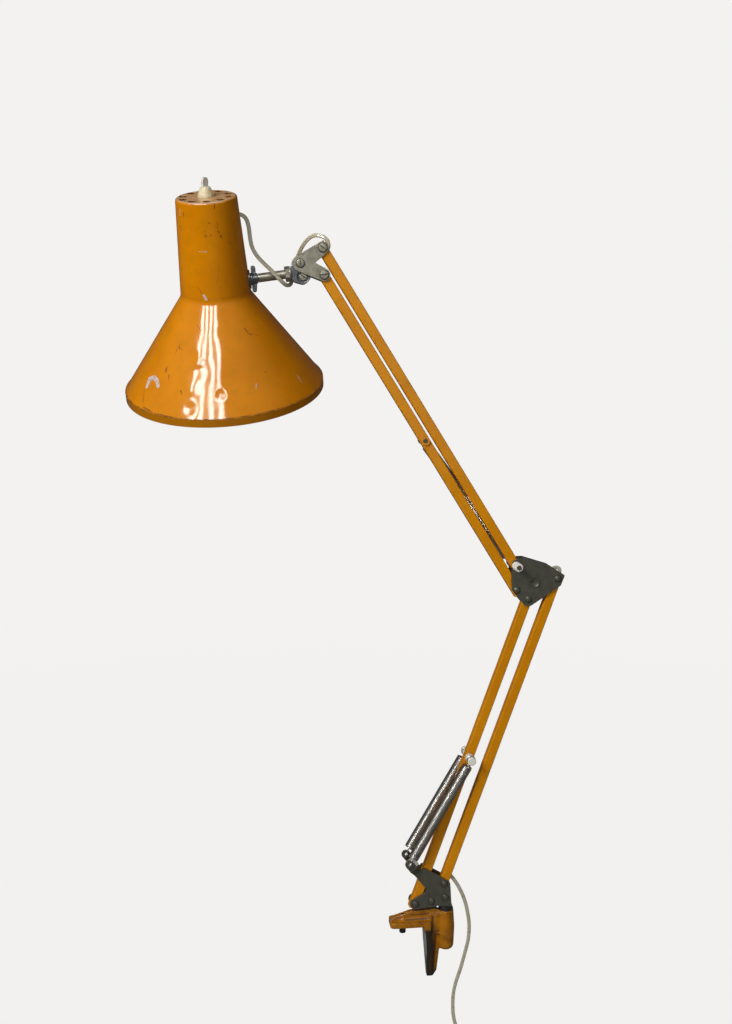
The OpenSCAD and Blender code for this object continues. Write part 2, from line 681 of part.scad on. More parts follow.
module wing_nut() color(steel_light) shaft_frame() difference() {
  union() {
    translate([0, 0, wing_s]) cylinder(r = 5.4, h = 2);
    translate([0, 0, wing_s]) cylinder(r = 4.6, h = wing_hub_l);
    rotate([90, 0, 0]) linear_extrude(2.6, center = true) rotate(90) mirror([0, 1]) wing_outline();
  }
  translate([0, 0, wing_s - 1]) cylinder(r = thread_r + run_gap, h = wing_hub_l + 2);
}

// ---- Shade ----
ferrule_hole_r = 5;
shade_line = soft([
  [ferrule_hole_r, neck_top_z, 0],
  [neck_top_r, neck_top_z, 2.2],
  [neck_low_r, -flare_z, 9],
  [rim_r - 0.9, hem_h - rim_z, 0],
  [rim_r, hem_h - rim_z - 0.2, 0],
  [rim_r, -rim_z, 0]
]);
cord_hole_z = 60;
module shade_shell() rotate_extrude() polygon(concat(shade_line, [
  for (i = [0:len(shade_line) - 1]) beside(shade_line, -shade_wall)[len(shade_line) - 1 - i]
]));
// The neck ends a little above the bend into the flare
neck_end_z = 4 - flare_z;
module shade_neck() color(orange) shade_frame() difference() {
  shade_shell();
  for (i = [0:vents - 1]) rotate(360 * (i + 0.5) / vents) translate([20.6, 0, neck_top_z - 5])
    cylinder(r = vent_r, h = 10);
  translate([0, 0, cord_hole_z]) rotate([0, 90, 0]) cylinder(r = 3.2, h = 2 * neck_low_r);
  rotate([0, 90 - shaft_deg + shade_lean, 0]) cylinder(r = thread_r + run_gap, h = 2 * neck_low_r);
  translate([0, 0, neck_end_z - rim_z]) cylinder(r = 2 * rim_r, h = rim_z);
}
module shade_flare() color(orange) shade_frame() difference() {
  shade_shell();
  translate([0, 0, neck_end_z]) cylinder(r = 2 * rim_r, h = rim_z);
}
// Its inner face follows the neck
module neck_washer() color(steel_dark) shade_frame() difference() {
  rotate([0, 90 - shaft_deg + shade_lean, 0]) translate([0, 0, neck_side_s - 4])
    cylinder(r = 8.5, h = 4 + washer_t);
  translate([0, 0, -flare_z]) cylinder(
    r1 = neck_low_r, r2 = neck_top_r, h = neck_top_z + flare_z, $fn = 96);
  rotate([0, 90 - shaft_deg + shade_lean, 0]) cylinder(r = thread_r + run_gap, h = 2 * neck_low_r);
}
ferrule_h = 8;
module switch_ferrule() color(cream) shade_frame() difference() {
  rotate_extrude() polygon(soft([
    [2.6, neck_top_z - 6, 0], [ferrule_hole_r, neck_top_z - 6, 0], [ferrule_hole_r, neck_top_z, 0],
    [7.2, neck_top_z, 0], [6.9, neck_top_z + 1.8, 0.6], [4.4, neck_top_z + ferrule_h, 1.2],
    [2.6, neck_top_z + ferrule_h, 0]
  ]));
}
holder_r = 18.5;
holder_top_z = neck_top_z - 6;
holder_mid_z = holder_top_z - 20;
holder_low_z = holder_mid_z - 28;
shell_r = 13.6;
module lampholder_cap() color(black) shade_frame() difference() {
  rotate_extrude() polygon(soft([
    [0, holder_mid_z, 0], [holder_r, holder_mid_z, 0], [holder_r, holder_top_z - 4, 4],
    [8, holder_top_z, 1], [0, holder_top_z, 0]
  ]));
  translate([0, 0, holder_mid_z + 8]) cylinder(r = 2.6, h = 40);
}
module lampholder_skirt() color(black) shade_frame() rotate_extrude() polygon(soft([
  [shell_r + 0.4, holder_mid_z, 0], [holder_r, holder_mid_z, 0], [holder_r - 1, holder_low_z + 2, 2],
  [shell_r + 2.2, holder_low_z, 0.5], [shell_r + 0.4, holder_low_z, 0]
]));
module screw_shell() color(brass) shade_frame() translate([0, 0, holder_mid_z - 24]) difference() {
  cylinder(r = shell_r + 0.4, h = 24);
  translate([0, 0, -1]) cylinder(r = shell_r, h = 26);
}
module centre_contact() color(brass) shade_frame()
  translate([0, 0, holder_mid_z - 2]) cylinder(r = 4, h = 2);
bulb_top_z = holder_mid_z - 2;
cap_l = 25;
globe_r = 30;
bulb_drop = 76;
globe_z = bulb_top_z - bulb_drop;
bulb_neck_r = 13;
bulb_neck_z = 50;
shoulder_r = 16.5;
shoulder_z = 38;
bulb_wall = 1;
module bulb_cap() color(brass) shade_frame() rotate_extrude() polygon(soft([
  [0, bulb_top_z, 0], [4.5, bulb_top_z, 0.5], [shell_r - 0.6, bulb_top_z - 5, 2],
  [shell_r - 0.6, bulb_top_z - cap_l, 0], [bulb_neck_r - 1.4, bulb_top_z - cap_l, 0],
  [bulb_neck_r - 1.4, bulb_top_z - 7, 1], [0, bulb_top_z - 4, 0]
]));
module bulb_profile(t) {
  intersection() {
    translate([0, globe_z]) circle(globe_r - t, $fn = 96);
    translate([0, globe_z - 2 * globe_r]) square([2 * globe_r, 4 * globe_r]);
  }
  polygon([
    [0, globe_z], [(globe_r - t) * cos(30), globe_z + (globe_r - t) * sin(30)],
    [shoulder_r - t, globe_z + shoulder_z], [bulb_neck_r - t, globe_z + bulb_neck_z],
    [bulb_neck_r - t, bulb_top_z - cap_l + 3 * t], [0, bulb_top_z - cap_l + 3 * t]
  ]);
}
module bulb_glass() color([0.95, 0.95, 0.92]) shade_frame() rotate_extrude() difference() {
  bulb_profile(0);
  bulb_profile(bulb_wall);
}
key_deg = 40;
module switch_key() color(nylon) shade_frame() translate([0, 0, neck_top_z + ferrule_h]) {
  translate([0, 0, -9]) cylinder(r = 2.5, h = 9.8);
  rotate([90, 0, key_deg]) linear_extrude(2.6, center = true) polygon(soft([
    [-2.6, 0.4, 0.5], [-3.3, 4.5, 2], [-2.2, 8, 1.4], [2.2, 8, 1.4], [3.3, 4.5, 2], [2.6, 0.4, 0.5]
  ]));
}

// ---- Flex ----
// Half width in the arms' plane and half thickness across it
flex_a = 1.75;
flex_b = 1.5;
// One eight-sided tube along the line
module flex_tube(line) {
  n = len(line);
  sides = 8;
  points = [
    for (i = [0:n - 1])
      let (
        along = unit(line[min(i + 1, n - 1)] - line[max(i - 1, 0)]),
        wide = unit(cross(along, [0, 1, 0])),
        thin = cross(wide, along)
      )
      for (k = [0:sides - 1])
        line[i] + wide * flex_a * cos(360 * k / sides) + thin * flex_b * sin(360 * k / sides)
  ];
  faces = concat(
    [[for (k = [0:sides - 1]) k]],
    [[for (k = [sides - 1:-1:0]) (n - 1) * sides + k]],
    [
      for (i = [0:n - 2]) for (k = [0:sides - 1])
        each [
          [i * sides + k, (i + 1) * sides + k, (i + 1) * sides + (k + 1) % sides],
          [i * sides + k, (i + 1) * sides + (k + 1) % sides, i * sides + (k + 1) % sides]
        ]
    ]
  );
  polyhedron(points, faces);
}
function in_plane(p) = [p.x, 0, p.y];
// Along the flex inside the two bars
bar_cord_gap = 8;
head_cord_points = [
  [-157.5, -20.2, 684.5], [-149.5, -20, 685.1], [-144.6, -19.8, 681.8], [-142.2, -19.5, 674.5],
  [-141.2, -18, 666], [-139.5, -16, 658], [-135.6, -14, 651], [-130, -12, 645],
  [-124.5, -10.4, 640], [-119, -9, 634.8], [-114, -7.4, 629.6], [-109.3, -3.5, 626],
  [-105, 3, 626.8], [-103.4, 8.2, 631], [-102.2, 11.4, 637.6], [-100, 12.6, 645],
  [-97.4, 12.4, 652.6], [-94.4, 10.6, 659.6], [-90.4, 7.6, 665.6], [-85.4, 5, 669.8],
  [-80.4, 2.4, 670.7], [-75.3, 0.6, 669.3], [-71.6, 0, 666.2], [-70.3, 0, 661.8],
  [-71.1, 0, 658.4], [-72.5, 0, 655.8], [-72.5, 0, 653.1]
];
elbow_cord_points = [
  [103.85, 0, 369.95], [106.7, 0, 365.4], [110, 0, 360.3], [114.4, 0, 356.4], [120, 0, 355.2],
  [127, 0, 355.6], [134, 0, 356], [139.2, 0, 358], [143.6, 0, 360.6], [147.9, 0, 361.8],
  [150.9, 0, 360], [150.9, 0, 356.6], [149, 0, 352.8], [147, 0, 348.4],
  [145.45, 0, 344.75]
];
lead_points = [
  [45.42, 0, 64.88], [45, 0, 63.6], [45.5, 0, 60.6], [47.2, 0, 56.6], [50.3, 0, 52.6], [53.9, 0, 47.2],
  [57.6, 0, 40.3], [60.9, 0, 32.6], [63.7, 0, 23.4], [65.9, 0, 12], [66.9, 0, 1.5],
  [66.1, 0, -12], [62.9, 0, -26], [58.6, 0, -42.5], [54.4, 0, -55.5], [51.9, 0, -67],
  [51.2, 0, -80], [52, 0, -93], [56, 0, -107], [65, 0, -121.6], [75.7, 0, -131]
];
coil_at = [51.5, -157];
coil_mid_r = 26.5;
coil_bundle_r = 6.5;
tail_l = 24;
tail_points = [[67.2, 0, -188.9], [60.5, 0, -195.8], [54.5, 0, -203], [52, 0, -208.8], [51.5, 0, -213.5]];
module cord_head() color(flex) flex_tube(head_cord_points);
module cord_elbow() color(flex) flex_tube(elbow_cord_points);
module cord_top_bar() color(flex) flex_tube([
  in_plane(head_top - polar(bar_cord_gap, upper_arm_deg)),
  in_plane(elbow_top + polar(6, upper_arm_deg))
]);
module cord_rear_bar() color(flex) flex_tube([
  in_plane(elbow_rear - polar(bar_cord_gap, lower_arm_deg)),
  in_plane(base_rear + polar(2 * bar_cord_gap, lower_arm_deg))
]);
module lead() color(flex) {
  flex_tube(lead_points);
  flex_tube(tail_points);
}
module lead_coil() color(flex) translate([coil_at.x, 0, coil_at.y]) rotate([90, 0, 0])
  rotate_extrude() translate([coil_mid_r, 0]) circle(coil_bundle_r);
tie_t = 1.2;
module lead_tie() color(black) translate([coil_at.x, 0, coil_at.y]) rotate([90, 0, 0])
  rotate([0, 0, 173]) difference() {
    rotate_extrude(angle = 14) translate([coil_mid_r, 0]) circle(coil_bundle_r + tie_t);
    rotate([0, 0, -5]) rotate_extrude(angle = 24) translate([coil_mid_r, 0]) circle(coil_bundle_r);
  }
plug_top = coil_at.y - coil_mid_r - coil_bundle_r - tail_l;
plug_l = 36;
plug_half_t = 6.9;
module plug_body() color(cream) slab(-plug_half_t, plug_half_t) polygon(soft([
  [coil_at.x - 4.5, plug_top, 1], [coil_at.x - 6, plug_top - 10, 3],
  [coil_at.x - 13, plug_top - 15, 4], [coil_at.x - 12, plug_top - 26, 8],
  [coil_at.x - 17.6, plug_top - plug_l, 2], [coil_at.x + 17.6, plug_top - plug_l, 2],
  [coil_at.x + 12, plug_top - 26, 8], [coil_at.x + 13, plug_top - 15, 4],
  [coil_at.x + 6, plug_top - 10, 3], [coil_at.x + 4.5, plug_top, 1]
]));
module plug_pins() color(brass) for (x = [-9.3, 9.3])
  translate([coil_at.x + x, 0, plug_top - plug_l - 19]) {
    translate([0, 0, 2]) cylinder(r = 2, h = 17);
    sphere_end();
  }
module sphere_end() translate([0, 0, 2]) intersection() {
  sphere(2);
  translate([-3, -3, -3]) cube([6, 6, 3]);
}

clamp_bracket();
rubber_foot();
swivel_post();
base_plate_near();
base_plate_far();
base_post_rivets();
base_pivot_rivets();
lower_spring_near();
lower_spring_far();
lead();
lead_coil();
lead_tie();
plug_body();
plug_pins();
front_bar();
front_spring_pin();
front_pin_bushes();
rear_bar();
cord_rear_bar();
elbow_plate_near();
elbow_plate_far();
elbow_spacer();
elbow_low_rivet();
elbow_front_rivet();
elbow_rear_studs();
elbow_spring_studs();
elbow_bushes();
upper_spring();
cord_elbow();
top_bar();
cord_top_bar();
bottom_bar();
upper_spring_pin();
upper_pin_collar();
upper_pin_bush();
head_plate_near();
head_plate_far();
head_top_screws();
head_low_screw();
knuckle_screw();
knuckle_nut();
knuckle();
pinch_screw();
shade_shaft();
lock_washer();
lock_nut();
shaft_end_nut();
wing_nut();
shade_neck();
shade_flare();
neck_washer();
switch_ferrule();
lampholder_cap();
lampholder_skirt();
screw_shell();
centre_contact();
bulb_cap();
bulb_glass();
cord_head();
switch_key();
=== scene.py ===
"""Dresses a clamp-on desk lamp with two sprung arms for a studio view, over its measured frame."""
import json
import math

import bmesh
import bpy
from mathutils import Matrix, Vector


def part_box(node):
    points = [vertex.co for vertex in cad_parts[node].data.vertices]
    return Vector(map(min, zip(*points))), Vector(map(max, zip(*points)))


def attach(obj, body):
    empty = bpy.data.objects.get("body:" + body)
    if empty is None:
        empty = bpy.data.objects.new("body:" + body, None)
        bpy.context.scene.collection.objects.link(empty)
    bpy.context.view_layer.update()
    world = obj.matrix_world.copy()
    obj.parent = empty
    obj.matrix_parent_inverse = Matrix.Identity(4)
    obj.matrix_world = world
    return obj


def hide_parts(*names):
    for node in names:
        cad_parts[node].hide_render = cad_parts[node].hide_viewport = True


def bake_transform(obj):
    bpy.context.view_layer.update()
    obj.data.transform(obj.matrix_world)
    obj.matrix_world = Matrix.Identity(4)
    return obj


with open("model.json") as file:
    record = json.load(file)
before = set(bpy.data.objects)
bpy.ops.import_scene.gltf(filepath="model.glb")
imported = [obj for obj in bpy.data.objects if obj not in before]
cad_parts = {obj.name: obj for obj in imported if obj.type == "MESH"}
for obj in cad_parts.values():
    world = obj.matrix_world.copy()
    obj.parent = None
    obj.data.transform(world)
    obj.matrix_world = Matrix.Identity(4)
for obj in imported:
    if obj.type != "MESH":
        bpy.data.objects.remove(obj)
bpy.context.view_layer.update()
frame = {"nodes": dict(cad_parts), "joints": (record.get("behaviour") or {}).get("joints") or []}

bl_info = {
    "name": "Clamp-on Desk Lamp",
    "version": (1, 0, 0),
    "blender": (4, 5, 0),
    "location": "View3D > Sidebar > Desk Lamp",
    "description": "Springs, flex, castings, finishes and studio for a sprung desk lamp",
    "category": "Object",
}

MM = 0.001
# Height of the rolled hem round the shade's mouth
HEM = 7.3 * MM
JOINTS = {joint["name"]: joint for joint in frame["joints"]}


def anchor(joint):
    """Where a joint's axis crosses the middle plane, in metres."""
    return Vector(JOINTS[joint]["pos_m"])


def middle(node):
    """The middle of a node's box, moved into the plane of the arms."""
    low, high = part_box(node)
    return Vector(((low.x + high.x) / 2, 0, (low.z + high.z) / 2))


def shade_heights(node):
    """How far each corner of a node's mesh lies above the shaft, along the shade's axis."""
    piece = frame["nodes"][node]
    return [(piece.matrix_world @ vertex.co - SHADE_MIDDLE).dot(SHADE_AXIS) for vertex in piece.data.vertices]


BASE_FRONT = anchor("front_bar_follow")
BASE_REAR = anchor("lower_arm_tilt")
SPRING_EAR = anchor("lower_springs_follow")
ELBOW_REAR = anchor("elbow_level")
ELBOW_TOP = anchor("upper_arm_tilt")
ELBOW_LOW = anchor("bottom_bar_follow")
HEAD_TOP = anchor("head_level")
KNUCKLE = anchor("head_tilt")
SHADE_MIDDLE = anchor("shade_turn")
SHADE_AXIS = Vector(JOINTS["switch_turn"]["axis"]).normalized()
SHAFT_AXIS = Vector(JOINTS["shade_turn"]["axis"]).normalized()
NECK_TOP = max(shade_heights("shade_neck"))
HEM_TOP = min(shade_heights("shade_flare")) + HEM
LOWER_PIN = middle("front_spring_pin")
UPPER_PIN = middle("upper_spring_pin")
ACROSS = Vector((0, 1, 0))


# ---- Settings ----
def length_setting(name, description, default):
    """A length in the sidebar, in metres."""
    return bpy.props.FloatProperty(name=name, description=description, default=default, unit="LENGTH")


def colour_setting(name, description, default):
    """A colour in the sidebar."""
    return bpy.props.FloatVectorProperty(
        name=name, description=description, default=default, subtype="COLOR", size=3)


class LampFlexSettings(bpy.types.PropertyGroup):
    """The mains flex and the two loops at the joints."""

    width: length_setting("Flex width", "Wide side of the flat flex", 3.6 * MM)
    thickness: length_setting("Flex thickness", "Narrow side of the flat flex", 2.7 * MM)
    coil_radius: length_setting("Coil radius", "Middle radius of the tied coil", 26.5 * MM)
    colour: colour_setting("Flex colour", "Colour of the flex sheath", (0.47, 0.455, 0.375))


class LampSpringSettings(bpy.types.PropertyGroup):
    """The three tension springs."""

    wire: length_setting("Wire", "Diameter of the spring wire", 1.25 * MM)
    diameter: length_setting("Spring diameter", "Outer diameter of the springs", 10.4 * MM)
    colour: colour_setting("Spring colour", "Colour of the spring steel", (0.60, 0.58, 0.54))


class LampPaintSettings(bpy.types.PropertyGroup):
    """The enamel of the shade, the arms and the clamp."""

    shade: colour_setting("Shade enamel", "Colour of the shade's enamel", (0.64, 0.218, 0.0))
    arms: colour_setting("Arm enamel", "Colour of the arm tubes", (0.66, 0.250, 0.001))
    clamp: colour_setting("Clamp enamel", "Colour of the clamp casting", (0.40, 0.145, 0.001))


class LampStageSettings(bpy.types.PropertyGroup):
    """The floor and the backdrop of the studio."""

    backdrop: colour_setting("Backdrop", "Colour seen behind and under the lamp", (0.896, 0.888, 0.871))
    floor_height: length_setting("Floor height", "Height of the floor, far under the clamp", -0.72)


def settings(group):
    """The scene's settings of that name."""
    return getattr(bpy.context.scene, "lamp_" + group)


# ---- Shader wiring ----
class Wiring:
    """A shader tree being wired up, with short calls for its nodes."""

    def __init__(self, tree):
        self.tree = tree
        tree.nodes.clear()

    def put(self, socket, value):
        """Links an output to a socket, or sets the socket's own value."""
        if isinstance(value, bpy.types.NodeSocket):
            self.tree.links.new(value, socket)
        elif socket.type == "RGBA" and len(value) == 3:
            socket.default_value = (*value, 1)
        else:
            socket.default_value = value

    def node(self, kind, inputs=(), **options):
        """A new node, with its options and its numbered or named inputs set."""
        made = self.tree.nodes.new("ShaderNode" + kind)
        for name, value in options.items():
            setattr(made, name, value)
        for key, value in dict(inputs).items():
            self.put(made.inputs[key], value)
        return made

    def math(self, operation, a, b=0.0, clamp=False):
        """One math step."""
        return self.node("Math", {0: a, 1: b}, operation=operation, use_clamp=clamp).outputs[0]

    def times(self, a, b):
        """The product of two values."""
        return self.math("MULTIPLY", a, b)

    def most(self, *values):
        """The largest of some values."""
        largest = values[0]
        for value in values[1:]:
            largest = self.math("MAXIMUM", largest, value)
        return largest

    def vector(self, operation, a, b=(0, 0, 0)):
        """One step on vectors, as a number where it gives one, and else as a vector."""
        made = self.node("VectorMath", {0: a, 1: b}, operation=operation)
        gives_number = operation in ("DOT_PRODUCT", "DISTANCE", "LENGTH")
        return made.outputs["Value" if gives_number else "Vector"]

    def between(self, value, low, high, start=0.0, end=1.0):
        """Maps low..high of a value to start..end, held at both ends."""
        inputs = {"Value": value, "From Min": low, "From Max": high, "To Min": start, "To Max": end}
        return self.node("MapRange", inputs, interpolation_type="SMOOTHSTEP").outputs[0]

    def blend(self, share, a, b):
        """Two colours mixed by a share, from a at 0 to b at 1."""
        # Inputs 6 and 7 of the node are its two colours, and output 2 is their mix
        return self.node("Mix", {"Factor": share, 6: a, 7: b}, data_type="RGBA").outputs[2]


class Finish(Wiring):
    """A material being wired up, with short calls for what the finishes share."""

    def __init__(self, name):
        self.material = bpy.data.materials.new(name)
        self.material.use_nodes = True
        super().__init__(self.material.node_tree)
        self.output = self.node("OutputMaterial")
        self.shader = self.node("BsdfPrincipled")
        self.put(self.output.inputs["Surface"], self.shader.outputs[0])
        self.place = self.node("TexCoord").outputs["Object"]

    def set(self, **values):
        """Sets the shader's sockets, by names with underscores for blanks."""
        for name, value in values.items():
            self.put(self.shader.inputs[name.replace("_", " ")], value)

    def grain(self, size, detail, roughness=0.55, stretch=None):
        """Noise whose marks are about size metres across, from 0 to 1."""
        place = self.place
        if stretch:
            place = self.node("Mapping", {"Vector": place, "Scale": stretch}).outputs[0]
        inputs = {"Vector": place, "Scale": 1 / size, "Detail": detail, "Roughness": roughness}
        return self.node("TexNoise", inputs).outputs["Fac"]

    def edges(self, radius, high=0.25):
        """1 along sharp edges within that radius, and 0 on flat faces."""
        rounded = self.node("Bevel", {"Radius": radius}, samples=4).outputs[0]
        plain = self.node("NewGeometry").outputs["Normal"]
        lean = self.vector("DOT_PRODUCT", rounded, plain)
        return self.between(self.math("SUBTRACT", 1.0, lean), 0.02, high)

    def crevices(self, reach):
        """1 in corners and gaps no wider than about reach, and 0 in the open."""
        open_share = self.node("AmbientOcclusion", {"Distance": reach}, samples=6).outputs["AO"]
        return self.math("SUBTRACT", 1.0, open_share)

    def along(self, start, direction):
        """How far a point lies from start, along a direction, in metres."""
        return self.vector("DOT_PRODUCT", self.vector("SUBTRACT", self.place, start), direction)

    def strokes(self, lines, ragged, soft=0.25):
        """1 in ragged strokes: (start, end, half width in metres), with start as end for a spot."""
        wobble = self.math("SUBTRACT", self.grain(0.0011, 3, 0.6), 0.5)
        marks = []
        for start, end, half in lines:
            near = self.vector("SUBTRACT", self.place, start)
            if start != end:
                run = end - start
                share = self.vector("DOT_PRODUCT", near, run / run.length_squared)
                held = self.math("ADD", share, clamp=True)
                foot = self.node("VectorMath", {0: run, "Scale": held}, operation="SCALE").outputs[0]
                near = self.vector("SUBTRACT", near, foot)
            away = self.vector("LENGTH", near)
            reach = self.math("ADD", self.times(wobble, 4 * ragged * half), half)
            marks.append(self.between(self.math("SUBTRACT", reach, away), 0.0, soft * half))
        return self.most(*marks)

    def dents(self, spots):
        """Smooth hollows and swellings, as a height in metres: (centre, radius, rise) each."""
        total = 0.0
        for centre, radius, rise in spots:
            away = self.vector("DISTANCE", self.place, centre)
            total = self.math("ADD", total, self.between(away, 0.0, radius, rise, 0.0))
        return total

    def rings(self, centres, radius, width):
        """1 in a ring of that radius round each centre, across the plane of the arms."""
        flat = self.vector("MULTIPLY", self.place, (1, 0, 1))
        found = []
        for centre in centres:
            away = self.vector("DISTANCE", flat, (centre.x, 0, centre.z))
            off = self.math("ABSOLUTE", self.math("SUBTRACT", away, radius))
            found.append(self.between(off, 0.0, width, 1.0, 0.0))
        return self.most(*found)

    def relief(self, *layers, rounding=0.0):
        """Bumps from (height, depth in metres) layers, over edges rounded by that radius."""
        normal = None
        if rounding:
            normal = self.node("Bevel", {"Radius": rounding}, samples=4).outputs[0]
        for height, depth in layers:
            bump = self.node("Bump", {"Height": height, "Distance": depth, "Strength": 1.0})
            if normal is not None:
                self.put(bump.inputs["Normal"], normal)
            normal = bump.outputs[0]
        self.put(self.shader.inputs["Normal"], normal)


def enamel(name, colour, edge_wear_and_shade, pale=(), dark=(), dents=()):
    """Old stove enamel: soft colour drift, fine scratches, specks, wear and painted shade along the edges,
    and painted shade in crevices.
    """
    f = Finish(name)
    deep = (colour[0] * 0.90, colour[1] * 0.86, colour[2])
    drift = f.blend(f.between(f.grain(0.045, 4), 0.32, 0.68), colour, deep)
    stain = f.between(f.grain(0.010, 6, 0.7), 0.48, 0.72, 0.0, 0.45)
    stained = f.blend(stain, drift, (colour[0] * 0.66, colour[1] * 0.80, colour[2]))
    grime = f.between(f.grain(0.006, 7, 0.75), 0.60, 0.76, 0.0, 0.34)
    dirty = f.blend(grime, stained, (0.16, 0.075, 0.006))
    specks = f.between(f.grain(0.0012, 2, 0.6), 0.725, 0.765, 0.0, 0.75)
    speckled = f.blend(specks, dirty, (0.060, 0.026, 0.006))
    scored = f.between(f.grain(0.0011, 4, 0.7, stretch=(1, 1, 0.10)), 0.66, 0.74, 0.0, 0.35)
    scored = f.times(scored, f.between(f.grain(0.02, 2), 0.5, 0.6))
    marked = f.blend(scored, speckled, (0.24, 0.10, 0.006))
    # Every edge is painted dark at least a third of the way as painted shade, and fully where the grain wears
    # the paint away
    rub_and_edge_shade = f.most(f.between(f.grain(0.0035, 5, 0.68), 0.44, 0.60), 0.35)
    worn = f.times(f.edges(0.8 * MM), f.times(rub_and_edge_shade, edge_wear_and_shade))
    worn_and_shaded = f.blend(worn, marked, (0.050, 0.036, 0.018))
    if dents:
        # Only the shade has dents, and with them a dusty top, painted shade on the hem, and a crease darkened
        # by grime and painted shade over it
        height = f.along(SHADE_MIDDLE, SHADE_AXIS)
        dusty = f.between(height, NECK_TOP - 1.0 * MM, NECK_TOP - 0.2 * MM)
        dusty = f.times(dusty, f.between(f.grain(0.003, 5, 0.7), 0.40, 0.62, 0.30, 0.92))
        worn_and_shaded = f.blend(dusty, worn_and_shaded, (0.50, 0.38, 0.24))
        # Painted shade: the hem under the crease is painted as a darker copy of the enamel
        hem = f.between(height, HEM_TOP, HEM_TOP - 0.8 * MM, 0.0, 0.55)
        worn_and_shaded = f.blend(hem, worn_and_shaded, (colour[0] * 0.42, colour[1] * 0.46, colour[2]))
        # The crease is painted dark in broken dashes: grime, and painted shade in the fold
        off = f.math("ABSOLUTE", f.math("SUBTRACT", height, HEM_TOP))
        crease = f.between(off, 0.2 * MM, 1.0 * MM, 1.0, 0.0)
        crease = f.times(crease, f.between(f.grain(0.004, 5, 0.7), 0.42, 0.60, 0.25, 0.75))
        worn_and_shaded = f.blend(crease, worn_and_shaded, (0.105, 0.058, 0.012))
    # Painted shade in crevices, darkest where a point sees least of the open
    crevice_shade = f.between(f.crevices(3 * MM), 0.30, 0.85, 0.0, 0.85)
    out = f.blend(crevice_shade, worn_and_shaded, (0.026, 0.015, 0.005))
    if dark:
        out = f.blend(f.times(f.strokes(dark, 0.8), 0.72), out, (0.075, 0.033, 0.010))
    if pale:
        primer = f.blend(f.between(f.grain(0.002, 3), 0.4, 0.6), (0.62, 0.50, 0.45), (0.42, 0.31, 0.26))
        out = f.blend(f.strokes(pale, 0.18), out, primer)
    gloss = f.between(f.grain(0.012, 4), 0.35, 0.75, 0.06, 0.13)
    dull = f.times(f.most(worn, grime, specks), 0.6)
    f.set(Base_Color=out, Roughness=f.math("ADD", gloss, dull), Specular_IOR_Level=0.36)
    layers = [(f.grain(0.0016, 3, 0.7, stretch=(1, 1, 0.12)), 0.005 * MM), (f.grain(0.0024, 2), 0.007 * MM)]
    if dents:
        layers.append((f.grain(0.030, 1.0, 0.4, stretch=(1, 1, 0.7)), 0.45 * MM))
        layers.append((f.grain(0.011, 1.0, 0.4), 0.08 * MM))
        layers.append((f.dents(dents), 1.0))
    f.relief(*layers, rounding=0.35 * MM)
    return f.material


DOWN = (0, 0, -1)
# Out of the leg's front face and of its inner face, which lean a little
LEG_FRONT = (-1, 0, 0.066)
LEG_INNER = (-0.998, 0, -0.0645)


def cast_enamel(name, colour, recess_shade):
    """Thick enamel on rough cast iron, partly worn and partly painted with shade on the leg, and with painted
    shade in its corners and recesses.
    """
    f = Finish(name)

    def below(height, run, start=0.0, end=1.0):
        """From start to end, below that height and over that run, both in millimetres."""
        return f.between(f.along((0, 0, height * MM), DOWN), 0, run * MM, start, end)

    deep = (colour[0] * 0.62, colour[1] * 0.60, colour[2])
    drift = f.blend(f.between(f.grain(0.010, 5), 0.35, 0.68), colour, deep)
    # Painted shade: the leg darkens to brown towards its end, under the arm
    down = below(9, 24, 0.0, 0.95)
    leg = f.between(f.along((34.5 * MM, 0, 0), LEG_FRONT), 0, 1.5 * MM)
    drift = f.blend(f.times(down, leg), drift, (0.050, 0.018, 0.001))
    chipped = f.between(f.grain(0.0028, 5, 0.62), 0.66, 0.70, 0.0, 0.9)
    tip = f.between(f.along((-9 * MM, 0, 0), (-1, 0, 0)), 0, 5 * MM)
    rim = f.times(f.edges(1.3 * MM, 0.20), f.between(f.grain(0.004, 4), 0.50, 0.62))
    rim = f.most(rim, f.times(tip, f.between(f.grain(0.005, 4), 0.50, 0.58)))
    # The leg's front and rear faces are painted dark iron, most of all at its low end: partly worn iron,
    # partly painted shade under the arm
    beside_rib = f.between(f.along((28.6 * MM, 0, 0), LEG_FRONT), -0.2 * MM, 0.8 * MM)
    worn_iron_and_shade = f.most(f.times(below(6, 3), beside_rib), below(-32, 12))
    unpainted_and_shaded = f.most(f.times(chipped, 0.45), rim, worn_iron_and_shade)
    iron = f.blend(f.grain(0.001, 3), (0.010, 0.009, 0.006), (0.030, 0.027, 0.020))
    painted = f.blend(unpainted_and_shaded, drift, iron)
    # The leg's inner face is rubbed bright by the table's edge
    inner = f.between(f.along((21.4 * MM, 0, 8 * MM), LEG_INNER), 0, 0.5 * MM)
    rubbed = f.times(f.times(below(4, 5), inner), below(-14, 14, 1, 0))
    silver = f.blend(f.grain(0.0025, 5, 0.7), (0.30, 0.29, 0.27), (0.62, 0.61, 0.58))
    faced = f.blend(rubbed, painted, silver)
    # Painted shade in the casting's corners and in its recesses
    corner_shade = f.between(f.crevices(6 * MM), 0.18, 0.60, 0.0, 0.95)
    shade_and_grime = f.most(corner_shade, f.times(f.strokes(recess_shade, 0.35, 1.0), 0.9))
    f.set(Base_Color=f.blend(shade_and_grime, faced, (0.022, 0.011, 0.003)), Specular_IOR_Level=0.45)
    f.set(Metallic=f.times(rubbed, 0.7))
    rough = f.times(f.most(chipped, rim, shade_and_grime), 0.3)
    f.set(Roughness=f.math("ADD", rough, f.between(f.grain(0.006, 4), 0.3, 0.7, 0.16, 0.28)))
    f.relief((f.grain(0.0022, 4), 0.09 * MM), (f.grain(0.0006, 2), 0.012 * MM), (unpainted_and_shaded, -0.05 * MM),
             rounding=0.8 * MM)
    return f.material


